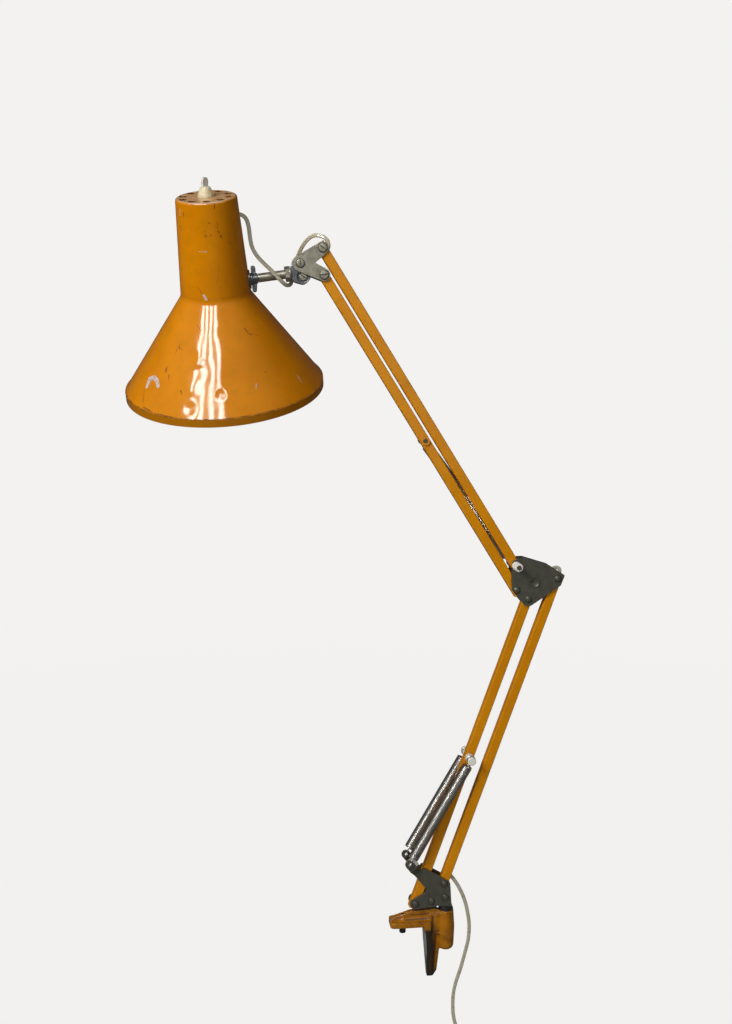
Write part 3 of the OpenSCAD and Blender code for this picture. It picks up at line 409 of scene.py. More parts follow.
def old_plate(name, colour, tint, shine, metallic, centres=(), ring=0.0):
    """Oxidised pressed steel: blotches, fine scoring, rubbed edges, painted shade in its corners, and grime
    with painted shade round its rivets.
    """
    f = Finish(name)
    blotch = f.blend(f.between(f.grain(0.007, 6, 0.68), 0.3, 0.7), colour, tint)
    speck = f.between(f.grain(0.0010, 3, 0.65), 0.62, 0.72, 0.0, 0.5)
    dotted = f.blend(speck, blotch, tuple(c * 0.35 for c in colour))
    rubbed = f.times(f.edges(0.4 * MM), f.between(f.grain(0.003, 3), 0.52, 0.64))
    bright = f.blend(f.times(rubbed, 0.5), dotted, tuple(min(1, c * 2.0 + 0.08) for c in colour))
    # Painted shade in corners and gaps
    shade_and_grime = f.between(f.crevices(1.4 * MM), 0.25, 0.65, 0.0, 0.92)
    if centres:
        # Rings at the rims of the rivet and screw heads: grime, and painted shade in the gap round each head
        broken = f.between(f.grain(0.002, 3), 0.3, 0.6, 0.7, 1.0)
        ring_grime_and_shade = f.times(f.rings(centres, ring, 0.6 * MM), broken)
        shade_and_grime = f.most(shade_and_grime, f.times(ring_grime_and_shade, 0.9))
    f.set(Base_Color=f.blend(shade_and_grime, bright, (0.008, 0.0075, 0.006)), Metallic=metallic)
    dull = f.between(f.grain(0.004, 5, 0.7), 0.25, 0.75, shine - 0.08, shine + 0.12)
    f.set(Roughness=f.most(dull, f.times(shade_and_grime, 0.7)), Specular_IOR_Level=0.35)
    scoring = f.grain(0.0009, 3, 0.7, stretch=(1, 1, 0.25))
    f.relief((scoring, 0.010 * MM), (f.grain(0.0025, 4), 0.02 * MM), rounding=0.3 * MM)
    return f.material


def wire_steel(name, colour):
    """Oiled spring wire, faintly rusty in patches."""
    f = Finish(name)
    rust = f.between(f.grain(0.012, 3, 0.6), 0.52, 0.72, 0.0, 0.35)
    toned = f.blend(f.between(f.grain(0.02, 3), 0.3, 0.7), colour, tuple(c * 0.7 for c in colour))
    f.set(Base_Color=f.blend(rust, toned, (0.12, 0.095, 0.07)), Metallic=1.0)
    f.set(Roughness=f.between(f.grain(0.02, 3), 0.3, 0.7, 0.26, 0.34))
    return f.material


def sheath(name, colour):
    """Aged plastic sheath, glossy, with nicks, dark handling marks and painted shade in its groove."""
    f = Finish(name)
    aged = (colour[0], colour[1] * 0.92, colour[2] * 0.72)
    yellowed = f.blend(f.between(f.grain(0.02, 3), 0.3, 0.7), colour, aged)
    handled = f.between(f.grain(0.006, 5, 0.7), 0.55, 0.70, 0.0, 0.55)
    dirty = f.blend(handled, yellowed, (0.13, 0.12, 0.085))
    # Painted shade in the groove between the two cores
    groove = f.between(f.crevices(1.2 * MM), 0.12, 0.40, 0.0, 0.85)
    grooved = f.blend(groove, dirty, (0.085, 0.080, 0.055))
    nicks = f.between(f.grain(0.0016, 2), 0.68, 0.73, 0.0, 0.9)
    f.set(Base_Color=f.blend(nicks, grooved, (0.04, 0.035, 0.025)))
    f.set(Roughness=f.between(f.grain(0.005, 3), 0.3, 0.7, 0.12, 0.24), Specular_IOR_Level=0.8)
    f.set(Subsurface_Weight=0.1, Subsurface_Radius=(0.8 * MM, 0.7 * MM, 0.5 * MM), Subsurface_Scale=1.0)
    f.relief((f.grain(0.0026, 3), 0.02 * MM))
    return f.material


def moulded(name, colour, grime, roughness, subsurface=0.0):
    """Moulded plastic or rubber with handling grime in patches, and painted shade in its corners in the
    grime's colour.
    """
    f = Finish(name)
    toned = f.blend(f.between(f.grain(0.01, 4), 0.3, 0.7), colour, tuple(c * 0.8 for c in colour))
    patches = f.between(f.grain(0.003, 5, 0.7), 0.55, 0.72, 0.0, 0.6)
    marked = f.blend(patches, toned, grime)
    # Painted shade in corners, in the grime's colour
    shade_and_grime = f.between(f.crevices(1.8 * MM), 0.30, 0.80, 0.0, 0.8)
    f.set(Base_Color=f.blend(shade_and_grime, marked, grime))
    f.set(Roughness=f.between(f.grain(0.004, 4), 0.3, 0.7, roughness - 0.06, roughness + 0.12))
    f.set(Subsurface_Weight=subsurface, Subsurface_Radius=(1.5 * MM, 1.0 * MM, 0.7 * MM))
    f.set(Subsurface_Scale=1.0)
    f.relief((f.grain(0.0009, 3), 0.012 * MM), rounding=0.3 * MM)
    return f.material


def opal(name):
    """White-coated bulb glass with a faint warm film of dust."""
    f = Finish(name)
    dust = f.between(f.grain(0.012, 4), 0.45, 0.75, 0.0, 0.35)
    f.set(Base_Color=f.blend(dust, (0.86, 0.86, 0.83), (0.66, 0.62, 0.53)), Roughness=0.16)
    f.set(Subsurface_Weight=0.4, Subsurface_Radius=(4 * MM, 4 * MM, 3.5 * MM), Subsurface_Scale=1.0)
    f.relief((f.grain(0.02, 2), 0.02 * MM))
    return f.material


def brass(name):
    """Plated brass, dulled brown in patches."""
    f = Finish(name)
    dulled = f.between(f.grain(0.003, 5, 0.7), 0.45, 0.70, 0.0, 0.8)
    f.set(Base_Color=f.blend(dulled, (0.62, 0.50, 0.27), (0.25, 0.17, 0.08)), Metallic=1.0)
    f.set(Roughness=f.between(dulled, 0, 1, 0.22, 0.5))
    f.relief((f.grain(0.0008, 3), 0.01 * MM), rounding=0.2 * MM)
    return f.material


# Marks on the shade: (height above the shaft in mm, turn in degrees) of both ends, half width in mm
PALE_MARKS = [
    ((-76, -151), (-71, -152), 2.5), ((-71, -152), (-68.3, -148), 2.5),
    ((-68.3, -148), (-69.6, -143), 2.4), ((-69.6, -143), (-73, -140.5), 2.2),
    ((-1, -111), (-4.5, -107), 1.2), ((37.1, -113), (36.9, -99), 0.28), ((37, -103), (36.9, -100), 0.5),
    ((-76, -36), (-82, -36), 0.7), ((-71, -70), (-74, -71), 0.6), ((77.0, -128), (77.0, -98), 0.45),
    ((77.0, -92), (77.0, -60), 0.5), ((71, -150), (66, -151), 0.35),
]
DARK_MARKS = [
    ((61.5, -92), (60, -87.5), 0.45), ((53.7, -99), (53.7, -99), 0.5), ((51.5, -97.5), (50, -101), 0.45),
    ((50, -96), (49, -99), 0.4), ((50.6, -89.5), (50.2, -89), 0.6), ((53, -75.5), (52, -74.5), 0.7),
    ((49.5, -72.8), (47.8, -71), 0.6), ((56.5, -76.5), (56, -76.5), 0.4), ((61, -76), (58, -75), 0.3),
    ((42, -58), (40.5, -55), 0.4), ((77, -76), (72.5, -78), 0.6), ((69, -140), (66, -139), 0.6),
    ((57, -152), (53, -150), 0.4), ((21.8, -124.8), (17, -114.5), 0.16), ((6, -121), (0.5, -113), 0.28),
    ((8, -88), (26, -80), 0.12), ((6, -84), (8, -72), 0.15), ((-30, -63), (-34.5, -60.5), 0.55),
    ((-35.5, -60), (-35, -57.5), 0.5), ((-36, -56), (-38, -50), 0.25), ((-16.5, -150), (-43.8, -131), 0.28),
    ((-42, -134), (-46.5, -134.5), 0.3), ((-42, -133), (-43.5, -128), 0.35),
    ((-58.5, -138.5), (-61.5, -138), 0.9), ((-63, -134), (-66, -133), 0.5),
    ((-68.8, -113.6), (-72.3, -97.2), 0.2), ((-64, -61), (-65, -60), 0.4),
    ((-80, -152), (-88, -148), 0.3), ((-73, -121), (-75, -120), 0.6), ((-24, -118), (-31, -108), 0.25),
    ((-91, -146), (-92, -138), 0.6), ((-92.3, -133), (-92.6, -124), 0.5), ((-92.6, -104), (-92.8, -101), 0.6),
    ((-92.8, -96), (-92.8, -88), 0.4), ((-92.9, -75), (-92.6, -66), 0.35),
]
# Swellings and hollows of the flare, which bend its reflections: (height, turn) as above, then the
# radius and the rise in mm, with a rise below 0 for a hollow
DENTS = [
    ((-47.5, -119), 9, -0.55), ((-52, -111), 7, 0.5), ((-70, -115), 12, 0.45), ((-75.5, -94.5), 7, -0.5),
    ((-86, -113), 10, -0.4), ((-30, -104), 12, 0.2), ((-60, -96), 14, 0.3),
]
# Painted shade in the clamp's recesses: both ends and half the width, in mm
CLAMP_RECESS_SHADE = [
    ((-2, -9.4, 13.6), (26, -9.4, 13.6), 0.9), ((2, -4.8, 14.4), (27, -4.6, 15), 1.5),
    ((28.8, -5.6, 18), (29, -5.6, 0), 2.0), ((29.4, -5.6, 1), (35, -5.6, 2), 1.2),
    ((8, -3, 18.2), (26, -3, 19.4), 1.0),
]
# The shade's outline in mm: the neck from its top down to the fold, and the flare's slope below it
NECK_HEIGHT = 77.6
NECK_TOP_R = 26.7
FOLD_HEIGHT = -8.5
FOLD_R = 31.5
FLARE_SLOPE = 0.7078


def on_shade(height, turn_deg):
    """A point of the shade's outside, by height above the shaft in mm and turn in degrees."""
    if height > FOLD_HEIGHT:
        radius = NECK_TOP_R + (FOLD_R - NECK_TOP_R) * (NECK_HEIGHT - height) / (NECK_HEIGHT - FOLD_HEIGHT)
    else:
        radius = FOLD_R - (height - FOLD_HEIGHT) * FLARE_SLOPE
    sideways = (SHAFT_AXIS - SHADE_AXIS * SHAFT_AXIS.dot(SHADE_AXIS)).normalized()
    forward = SHADE_AXIS.cross(sideways)
    turn = math.radians(turn_deg)
    outwards = sideways * math.cos(turn) + forward * math.sin(turn)
    return SHADE_MIDDLE + SHADE_AXIS * (height * MM) + outwards * (radius * MM)


def shade_marks(marks):
    """The ends of each mark as points on the shade, and its half width in metres."""
    return [(on_shade(*start), on_shade(*end), half * MM) for start, end, half in marks]


def make_finishes():
    """Every finish by the name of the record's slot that it dresses."""
    paint = settings("paint")
    post_low, post_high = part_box("base_post_rivets")
    rivet_r = (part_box("elbow_low_rivet")[1].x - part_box("elbow_low_rivet")[0].x) / 2
    rivets = [
        BASE_FRONT, BASE_REAR, Vector((post_low.x + rivet_r, 0, post_low.z + rivet_r)),
        Vector((post_high.x - rivet_r, 0, post_high.z - rivet_r)),
        ELBOW_LOW, ELBOW_REAR, middle("elbow_front_rivet"),
    ]
    screws = [KNUCKLE, HEAD_TOP, middle("head_low_screw")]
    return {
        "shade_paint": enamel("Shade enamel", tuple(paint.shade), 0.8, shade_marks(PALE_MARKS),
                              shade_marks(DARK_MARKS),
                              [(on_shade(*at), radius * MM, rise * MM) for at, radius, rise in DENTS]),
        "tube_paint": enamel("Arm enamel", tuple(paint.arms), 1.0),
        "cast_paint": cast_enamel("Clamp enamel on iron", tuple(paint.clamp), [
            (Vector(start) * MM, Vector(end) * MM, half * MM) for start, end, half in CLAMP_RECESS_SHADE]),
        "black_rubber": moulded("Foot rubber", (0.010, 0.010, 0.009), (0.05, 0.04, 0.03), 0.5),
        "post_steel": old_plate("Blackened post", (0.022, 0.022, 0.023), (0.055, 0.052, 0.050), 0.26, 0.3),
        "dark_steel": old_plate("Greened plate steel", (0.098, 0.096, 0.072), (0.072, 0.071, 0.054),
                                0.32, 0.30, rivets, rivet_r - 0.5 * MM),
        "spring_steel": wire_steel("Spring wire", tuple(settings("springs").colour)),
        "bright_steel": old_plate("Dull nickel plate", (0.30, 0.28, 0.215), (0.20, 0.19, 0.15), 0.34, 0.6,
                                  screws, 3.9 * MM),
        "knuckle_zinc": old_plate("Knuckle zinc", (0.15, 0.16, 0.175), (0.085, 0.09, 0.098), 0.30, 0.5),
        "nylon": moulded("Nylon bush", (0.86, 0.85, 0.78), (0.50, 0.47, 0.38), 0.20, 0.3),
        "flex_sheath": sheath("Flex sheath", tuple(settings("flex").colour)),
        "tie_plastic": moulded("Coil tie", (0.02, 0.02, 0.02), (0.06, 0.055, 0.05), 0.45),
        "cream_plastic": moulded("Cream moulding", (0.80, 0.69, 0.44), (0.34, 0.25, 0.12), 0.25, 0.15),
        "plated_brass": brass("Plated brass"),
        "black_bakelite": moulded("Lampholder bakelite", (0.016, 0.013, 0.011), (0.05, 0.04, 0.03), 0.24),
        "bulb_opal": opal("Bulb opal"),
    }


FINISHES = {}


def finish_of(slot):
    """The finish for a slot, made on first use."""
    if not FINISHES:
        FINISHES.update(make_finishes())
    return FINISHES[slot]


# ---- Mesh helpers ----
def placed(name, data):
    """A new object of the scene, for a mesh, a light or a camera."""
    made = bpy.data.objects.new(name, data)
    bpy.context.scene.collection.objects.link(made)
    return made


def new_piece(name, mesh, slot, smooth_angle):
    """An object for a mesh in a slot's finish, shaded smooth over edges below that angle in degrees."""
    piece = placed(name, mesh)
    mesh.materials.clear()
    mesh.materials.append(finish_of(slot))
    mesh.shade_smooth()
    mesh.set_sharp_from_angle(angle=math.radians(smooth_angle))
    return piece


def heading(line, i):
    """The direction that a line runs in at one of its points."""
    return (line[min(i + 1, len(line) - 1)] - line[max(i - 1, 0)]).normalized()


def skinned(name, rings):
    """A closed mesh over rings of equally many points, with a flat cap at each end."""
    mesh = bmesh.new()
    sides = len(rings[0])
    rows = [[mesh.verts.new(point) for point in ring] for ring in rings]
    for near, far in zip(rows, rows[1:]):
        for k in range(sides):
            mesh.faces.new((near[k], near[(k + 1) % sides], far[(k + 1) % sides], far[k]))
    mesh.faces.new(rows[0][::-1])
    mesh.faces.new(rows[-1])
    bmesh.ops.recalc_face_normals(mesh, faces=mesh.faces)
    made = bpy.data.meshes.new(name)
    mesh.to_mesh(made)
    mesh.free()
    return made


# Sides of the flex's section, and how deep and wide its groove is, as shares of its half sizes
FLEX_SIDES = 16
WAIST_DEPTH = 0.45
WAIST_WIDTH = 0.34
# Sides of the spring wire's section
WIRE_SIDES = 8


def tube_mesh(name, line, half_width, half_thickness):
    """A closed twin-core tube, waisted along its middle, whose wide side lies in the plane of the arms."""
    rings = []
    for i, point in enumerate(line):
        along = heading(line, i)
        wide = along.cross(ACROSS).normalized()
        thin = wide.cross(along)
        ring = []
        for k in range(FLEX_SIDES):
            turn = 2 * math.pi * k / FLEX_SIDES
            waist = 1 - WAIST_DEPTH * math.exp(-(math.cos(turn) / WAIST_WIDTH) ** 2)
            offset = wide * half_width * math.cos(turn) + thin * half_thickness * waist * math.sin(turn)
            ring.append(point + offset)
        rings.append(ring)
    return skinned(name, rings)


def round_wire(name, line, radius):
    """A closed round wire along a line that may turn any way."""
    rings = []
    wide = heading(line, 0).orthogonal().normalized()
    for i, point in enumerate(line):
        along = heading(line, i)
        wide = (wide - along * wide.dot(along)).normalized()
        thin = along.cross(wide)
        rings.append([
            point + (wide * math.cos(turn) + thin * math.sin(turn)) * radius
            for turn in (2 * math.pi * k / WIRE_SIDES for k in range(WIRE_SIDES))
        ])
    return skinned(name, rings)


def smooth_line(points, steps):
    """A smooth line through points, with that many steps between each two."""
    line = []
    last = len(points) - 1
    for i in range(last):
        a, b, c, d = points[max(i - 1, 0)], points[i], points[i + 1], points[min(i + 2, last)]
        for k in range(steps):
            t = k / steps
            line.append(0.5 * (
                2 * b + (c - a) * t + (2 * a - 5 * b + 4 * c - d) * t * t
                + (3 * b - a - 3 * c + d) * t ** 3
            ))
    line.append(points[last])
    return line


def applied(piece):
    """The piece's mesh with its modifiers worked in, and the modifiers gone."""
    graph = bpy.context.evaluated_depsgraph_get()
    mesh = bpy.data.meshes.new_from_object(piece.evaluated_get(graph), depsgraph=graph)
    piece.modifiers.clear()
    return mesh


def cast_copy(name, node, body, slot, voxel, rounds, smooth_angle):
    """A node's shape with its corners worn round, as a casting has them."""
    mesh = frame["nodes"][node].data.copy()
    mesh.name = name
    shell = bmesh.new()
    shell.from_mesh(mesh)
    bmesh.ops.remove_doubles(shell, verts=shell.verts, dist=0.002 * MM)
    shell.to_mesh(mesh)
    shell.free()
    piece = placed(name, mesh)
    remesh = piece.modifiers.new("Casting skin", "REMESH")
    remesh.mode = "VOXEL"
    remesh.voxel_size = voxel
    ease = piece.modifiers.new("Round corners", "SMOOTH")
    ease.factor = 0.5
    ease.iterations = rounds
    worn = applied(piece)
    bpy.data.objects.remove(piece)
    worn.name = name
    made = new_piece(name, worn, slot, smooth_angle)
    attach(made, body)
    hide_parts(node)


# ---- Geometry node trees ----
def spring_tree():
    """The geometry tree of a close-wound coil that stands on the origin."""
    tree = bpy.data.node_groups.new("Close-wound spring", "GeometryNodeTree")
    tree.interface.new_socket("Geometry", in_out="OUTPUT", socket_type="NodeSocketGeometry")
    for label in ("Turns", "Length", "Coil Radius", "Wire Radius"):
        tree.interface.new_socket(label, in_out="INPUT", socket_type="NodeSocketFloat")
    tree.interface.new_socket("Finish", in_out="INPUT", socket_type="NodeSocketMaterial")
    given = tree.nodes.new("NodeGroupInput")
    result = tree.nodes.new("NodeGroupOutput")
    spiral = tree.nodes.new("GeometryNodeCurveSpiral")
    spiral.inputs["Resolution"].default_value = 20
    section = tree.nodes.new("GeometryNodeCurvePrimitiveCircle")
    section.inputs["Resolution"].default_value = WIRE_SIDES
    sweep = tree.nodes.new("GeometryNodeCurveToMesh")
    sweep.inputs["Fill Caps"].default_value = True
    realize = tree.nodes.new("GeometryNodeRealizeInstances")
    finish = tree.nodes.new("GeometryNodeSetMaterial")
    for source, output, target, socket in (
        (given, "Turns", spiral, "Rotations"), (given, "Length", spiral, "Height"),
        (given, "Coil Radius", spiral, "Start Radius"), (given, "Coil Radius", spiral, "End Radius"),
        (given, "Wire Radius", section, "Radius"), (given, "Finish", finish, "Material"),
        (spiral, "Curve", sweep, "Curve"), (section, "Curve", sweep, "Profile Curve"),
        (sweep, "Mesh", realize, "Geometry"), (realize, "Geometry", finish, "Geometry"),
        (finish, "Geometry", result, "Geometry"),
    ):
        tree.links.new(source.outputs[output], target.inputs[socket])
    return tree


def grown(name, tree, values):
    """The mesh that a geometry tree makes from its named values."""
    seed = placed(name, bpy.data.meshes.new(name))
    growth = seed.modifiers.new(name, "NODES")
    growth.node_group = tree
    sockets = {item.name: item.identifier for item in tree.interface.items_tree if item.in_out == "INPUT"}
    for label, value in values.items():
        growth[sockets[label]] = value
    mesh = applied(seed)
    bpy.data.objects.remove(seed)
    mesh.name = name
    return mesh


# ---- Flex ----
# Points that the flex passes, in millimetres, listed as in the part's source
LEAD_POINTS = [
    (45.42, 0, 64.88), (45, 0, 63.6), (45.5, 0, 60.6), (47.2, 0, 56.6), (50.3, 0, 52.6),
    (53.9, 0, 47.2), (57.6, 0, 40.3), (60.9, 0, 32.6), (63.7, 0, 23.4), (65.9, 0, 12),
    (66.9, 0, 1.5), (66.1, 0, -12), (62.9, 0, -26), (58.6, 0, -42.5), (54.4, 0, -55.5),
    (51.9, 0, -67), (51.2, 0, -80), (52, -1, -93), (56, -2, -107), (65, -2.8, -122),
    (74.5, -2.8, -135), (80.4, -2.8, -146),
]
TAIL_POINTS = [(68.6, 2.8, -185), (62, 2.6, -193), (56.4, 1.8, -201.5), (52.8, 1, -208.5), (51.5, 0, -216)]
HEAD_POINTS = [
    (-157.5, -20.2, 684.5), (-149.5, -20, 685.1), (-144.6, -19.8, 681.8), (-142.2, -19.5, 674.5),
    (-141.2, -18, 666), (-139.5, -16, 658), (-135.6, -14, 651), (-130, -12, 645),
    (-124.5, -10.4, 640), (-119, -9, 634.8), (-114, -7.4, 629.6), (-109.3, -3.5, 626),
    (-105, 3, 626.8), (-103.4, 8.2, 631), (-102.2, 11.4, 637.6), (-100, 12.6, 645),
    (-97.4, 12.4, 652.6), (-94.4, 10.6, 659.6), (-90.4, 7.6, 665.6), (-85.4, 5, 669.8),
    (-80.4, 2.4, 670.7), (-75.3, 0.6, 669.3), (-71.6, 0, 666.2), (-70.3, 0, 661.8),
    (-71.1, 0, 658.4), (-72.5, 0, 655.8), (-72.5, 0, 653.1),
]
ELBOW_POINTS = [
    (103.85, 0, 369.95), (106.7, 0, 365.4), (110, 0, 360.3), (114.4, 0, 356.4), (120, 0, 355.2),
    (127, 0, 355.6), (134, 0, 356), (139.2, 0, 358), (143.6, 0, 360.6), (147.9, 0, 361.8),
    (150.9, 0, 360), (150.9, 0, 356.6), (149, 0, 352.8), (147, 0, 348.4), (145.45, 0, 344.75),
]
# Cells of the coil's bundle, in the order that the lead fills them: (outwards, across)
COIL_CELLS = [(1, -1), (0, -1), (-1, -1), (-1, 0), (-1, 1), (0, 1), (0, 0), (1, 0), (1, 1), (1, 2)]
COIL_STEPS = 48
COIL_MIDDLE = Vector((51.5 * MM, 0, -157 * MM))
COIL_GAP = 0.1 * MM
# Share of a turn after which the lead moves over to its next cell
CELL_CHANGE = 0.8
# How far round from the right the tail leaves the last turn, in degrees
TAIL_LEAVES = 40
# Steps of a smooth line between two of the flex's points
FLEX_STEPS = 4


def in_metres(points):
    """Points in millimetres as vectors in metres."""
    return [Vector(point) * MM for point in points]


def coil_line(radius, width, thickness):
    """The coil's turns, clockwise from the right, moving from cell to cell near the end of each."""
    line = []
    turns = len(COIL_CELLS)
    # The last turn stops at the lower right, where the tail leaves
    last_step = turns * COIL_STEPS - round(COIL_STEPS * (1 - TAIL_LEAVES / 360))
    for step in range(last_step + 1):
        turn, part = divmod(step / COIL_STEPS, 1)
        here = COIL_CELLS[int(turn)]
        after = COIL_CELLS[min(int(turn) + 1, turns - 1)]
        share = max(0.0, (part - CELL_CHANGE) / (1 - CELL_CHANGE))
        share = share * share * (3 - 2 * share)
        out = here[0] + (after[0] - here[0]) * share
        side = here[1] + (after[1] - here[1]) * share
        angle = -2 * math.pi * part
        reach = radius + out * (width + COIL_GAP)
        line.append(COIL_MIDDLE + Vector((
            reach * math.cos(angle), side * (thickness + COIL_GAP), reach * math.sin(angle)
        )))
    return line


def flex_piece(name, line):
    """A piece of the flex along a line."""
    flex = settings("flex")
    mesh = tube_mesh(name, line, flex.width / 2, flex.thickness / 2)
    return new_piece(name, mesh, "flex_sheath", smooth_angle=80)


def add_stretch(name, line, node=None):
    """One stretch of the flex along a line, which hides the part's node that it stands in for, if one is
    given.
    """
    piece = flex_piece(name, line)
    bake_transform(piece)
    if node:
        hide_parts(node)
    settings("flex").width


class LAMP_OT_lead(bpy.types.Operator):
    """Lays the mains lead from the rear bar's slot to its tied coil and plug."""

    bl_idname = "lamp.lead"
    bl_label = "Mains lead"

    def execute(self, context):
        flex = settings("flex")
        coil = coil_line(flex.coil_radius, flex.width, flex.thickness)
        line = smooth_line(in_metres(LEAD_POINTS) + [coil[0]], FLEX_STEPS)[:-1] + coil
        line += smooth_line([coil[-1]] + in_metres(TAIL_POINTS), FLEX_STEPS)[1:]
        # The lead leaves the rear bar at its fourth point, and hangs freely from its eighth
        piece = flex_piece("mains_lead", line)
        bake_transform(piece)
        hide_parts("lead", "lead_coil")
        return {"FINISHED"}


class LAMP_OT_joint_flex(bpy.types.Operator):
    """Carries the flex round the elbow, and from the upper arm over the head into the shade."""

    bl_idname = "lamp.joint_flex"
    bl_label = "Flex at the joints"

    def execute(self, context):
        # Each loop is cut at a point that one body holds, so that a stretch crosses one joint
        elbow = smooth_line(in_metres(ELBOW_POINTS), FLEX_STEPS)
        cut, turned = 6 * FLEX_STEPS, 9 * FLEX_STEPS
        add_stretch("elbow_flex_upper", elbow[:cut + 1],
                    "cord_elbow")
        add_stretch("elbow_flex_lower", elbow[cut:])
        head = smooth_line(in_metres(HEAD_POINTS), FLEX_STEPS)
        first, second = 9 * FLEX_STEPS, 15 * FLEX_STEPS
        add_stretch("head_flex_shade", head[:first + 1],
                    "cord_head")
        add_stretch("head_flex_knuckle", head[first:second + 1])
        add_stretch("head_flex_arm", head[second:])
        return {"FINISHED"}


# ---- Springs ----
PIN_RADIUS = 3.0 * MM
# Straight wire between a coil and its hook's loop
FOOT_SHANK = 4.3 * MM
TOP_SHANK = 3.2 * MM
# Distance from turn to turn, in wire diameters
TURN_PITCH = 1.03
# The bend out of a coil's last turn
BEND_STEPS = 8
BEND_RISE = 0.8 * MM
# The hook's loop, how far round its pin it goes in degrees, and its play on the pin
LOOP_STEPS = 32
LOOP_TURN = 330
LOOP_PLAY = 0.2 * MM


def stood(mesh, foot, top):
    """Turns a mesh that stands on the origin so that it runs from foot towards top."""
    up = (top - foot).normalized()
    side = ACROSS.cross(up).normalized()
    mesh.transform(Matrix.Translation(foot) @ Matrix((side, ACROSS, up)).transposed().to_4x4())
    return mesh


def hook_line(coil_radius, shank_low, loop_radius, loop_at):
    """A hook on the coil's axis: out of the last turn, up the axis and once round the loop's pin."""
    line = []
    for k in range(BEND_STEPS + 1):
        share = k / BEND_STEPS
        turn = math.pi * share
        reach = coil_radius * (1 - share)
        line.append(Vector((reach * math.cos(turn), reach * math.sin(turn), shank_low + BEND_RISE * share)))
    # A point near the middle of the shank
    line.append(Vector((0, 0, (shank_low + loop_at - loop_radius) / 2 + 0.2 * MM)))
    for k in range(1, LOOP_STEPS + 1):
        turn = -math.pi / 2 + math.radians(LOOP_TURN) * k / LOOP_STEPS
        line.append(Vector((loop_radius * math.cos(turn), 0, loop_at + loop_radius * math.sin(turn))))
    return line


def add_spring(tree, name, foot, top, y, body, pin_body, node, foot_loop, foot_across, stretch):
    """A coil on its own body with a hook at its foot, and a hook on the pin's body at its top."""
    springs = settings("springs")
    wire = springs.wire / 2
    coil = springs.diameter / 2 - wire
    foot = Vector((foot.x, y, foot.z))
    top = Vector((top.x, y, top.z))
    length = (top - foot).length
    top_loop = PIN_RADIUS + wire + LOOP_PLAY
    low = foot_loop + FOOT_SHANK
    high = length - top_loop - TOP_SHANK
    turns = math.floor((high - low) / (2 * wire * TURN_PITCH))
    mesh = grown(name, tree, {
        "Turns": float(turns), "Length": high - low, "Coil Radius": coil, "Wire Radius": wire,
        "Finish": finish_of("spring_steel"),
    })
    mesh.transform(Matrix.Translation((0, 0, low)))
    # The foot's hook is the top one turned over, and on an ear its loop lies across the arms' plane
    foot_hook = [Vector((-p.x, p.y, -p.z)) for p in hook_line(coil, -low, foot_loop, 0)]
    if foot_across:
        bend = BEND_STEPS + 2
        foot_hook = foot_hook[:bend] + [Vector((p.y, p.x, p.z)) for p in foot_hook[bend:]]
    hook = round_wire(name + "_foot_hook", foot_hook, wire)
    joined = bmesh.new()
    joined.from_mesh(mesh)
    joined.from_mesh(hook)
    joined.to_mesh(mesh)
    joined.free()
    piece = new_piece(name, stood(mesh, foot, top), "spring_steel", smooth_angle=60)
    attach(piece, body)
    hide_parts(node)
    # The shank is as long as the tilt needs: a longer one would swing out through the coil's side
    shank = [Vector((0, 0, high - stretch)), Vector((0, 0, high - 0.3 * stretch))]
    loop = hook_line(coil, high, top_loop, length)[BEND_STEPS + 1:]
    pin_hook = round_wire(name + "_pin_hook", shank + loop, wire)
    hook_piece = new_piece(name + "_pin_hook", stood(pin_hook, foot, top), "spring_steel", smooth_angle=60)
    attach(hook_piece, pin_body)


class LAMP_OT_springs(bpy.types.Operator):
    """Winds the pair of lower springs and the upper spring, with their hooks."""

    bl_idname = "lamp.springs"
    bl_label = "Springs"

    def execute(self, context):
        tree = spring_tree()
        low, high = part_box("lower_spring_near")
        side = -(low.y + high.y) / 2
        ear_loop = 3.4 * MM
        pin_loop = 3.8 * MM
        # How far the arm's tilt draws each pin away from its coil, and a little over
        lower_stretch = 9.5 * MM
        upper_stretch = 34 * MM
        for which, y in (("near", -side), ("far", side)):
            add_spring(tree, "spring_lower_" + which, SPRING_EAR, LOWER_PIN, y, "lower_springs", "front_bar",
                       "lower_spring_" + which, ear_loop, True, lower_stretch)
        add_spring(tree, "spring_upper_far", ELBOW_TOP, UPPER_PIN, side, "upper_spring", "bottom_bar",
                   "upper_spring", pin_loop, False, upper_stretch)
        return {"FINISHED"}


# ---- Castings ----
class LAMP_OT_castings(bpy.types.Operator):
    """Gives the clamp, the knuckle and the wing nut the soft corners of castings."""

    bl_idname = "lamp.castings"
    bl_label = "Castings"

    def execute(self, context):
        cast_copy("clamp_casting", "clamp_bracket", "clamp", "cast_paint",
                  voxel=0.55 * MM, rounds=5, smooth_angle=60)
        cast_copy("knuckle_casting", "knuckle", "knuckle", "knuckle_zinc",
                  voxel=0.3 * MM, rounds=3, smooth_angle=50)
        cast_copy("wing_nut_casting", "wing_nut", "wing_nut", "knuckle_zinc",
                  voxel=0.25 * MM, rounds=5, smooth_angle=60)
        return {"FINISHED"}


class LAMP_OT_finishes(bpy.types.Operator):
    """Dresses every node that still shows in the finish of its slot."""

    bl_idname = "lamp.finishes"
    bl_label = "Finishes"

    def execute(self, context):
        for node in frame["nodes"].values():
            for held in node.material_slots:
                held.material = finish_of(held.material.name.split(".")[0])
        return {"FINISHED"}


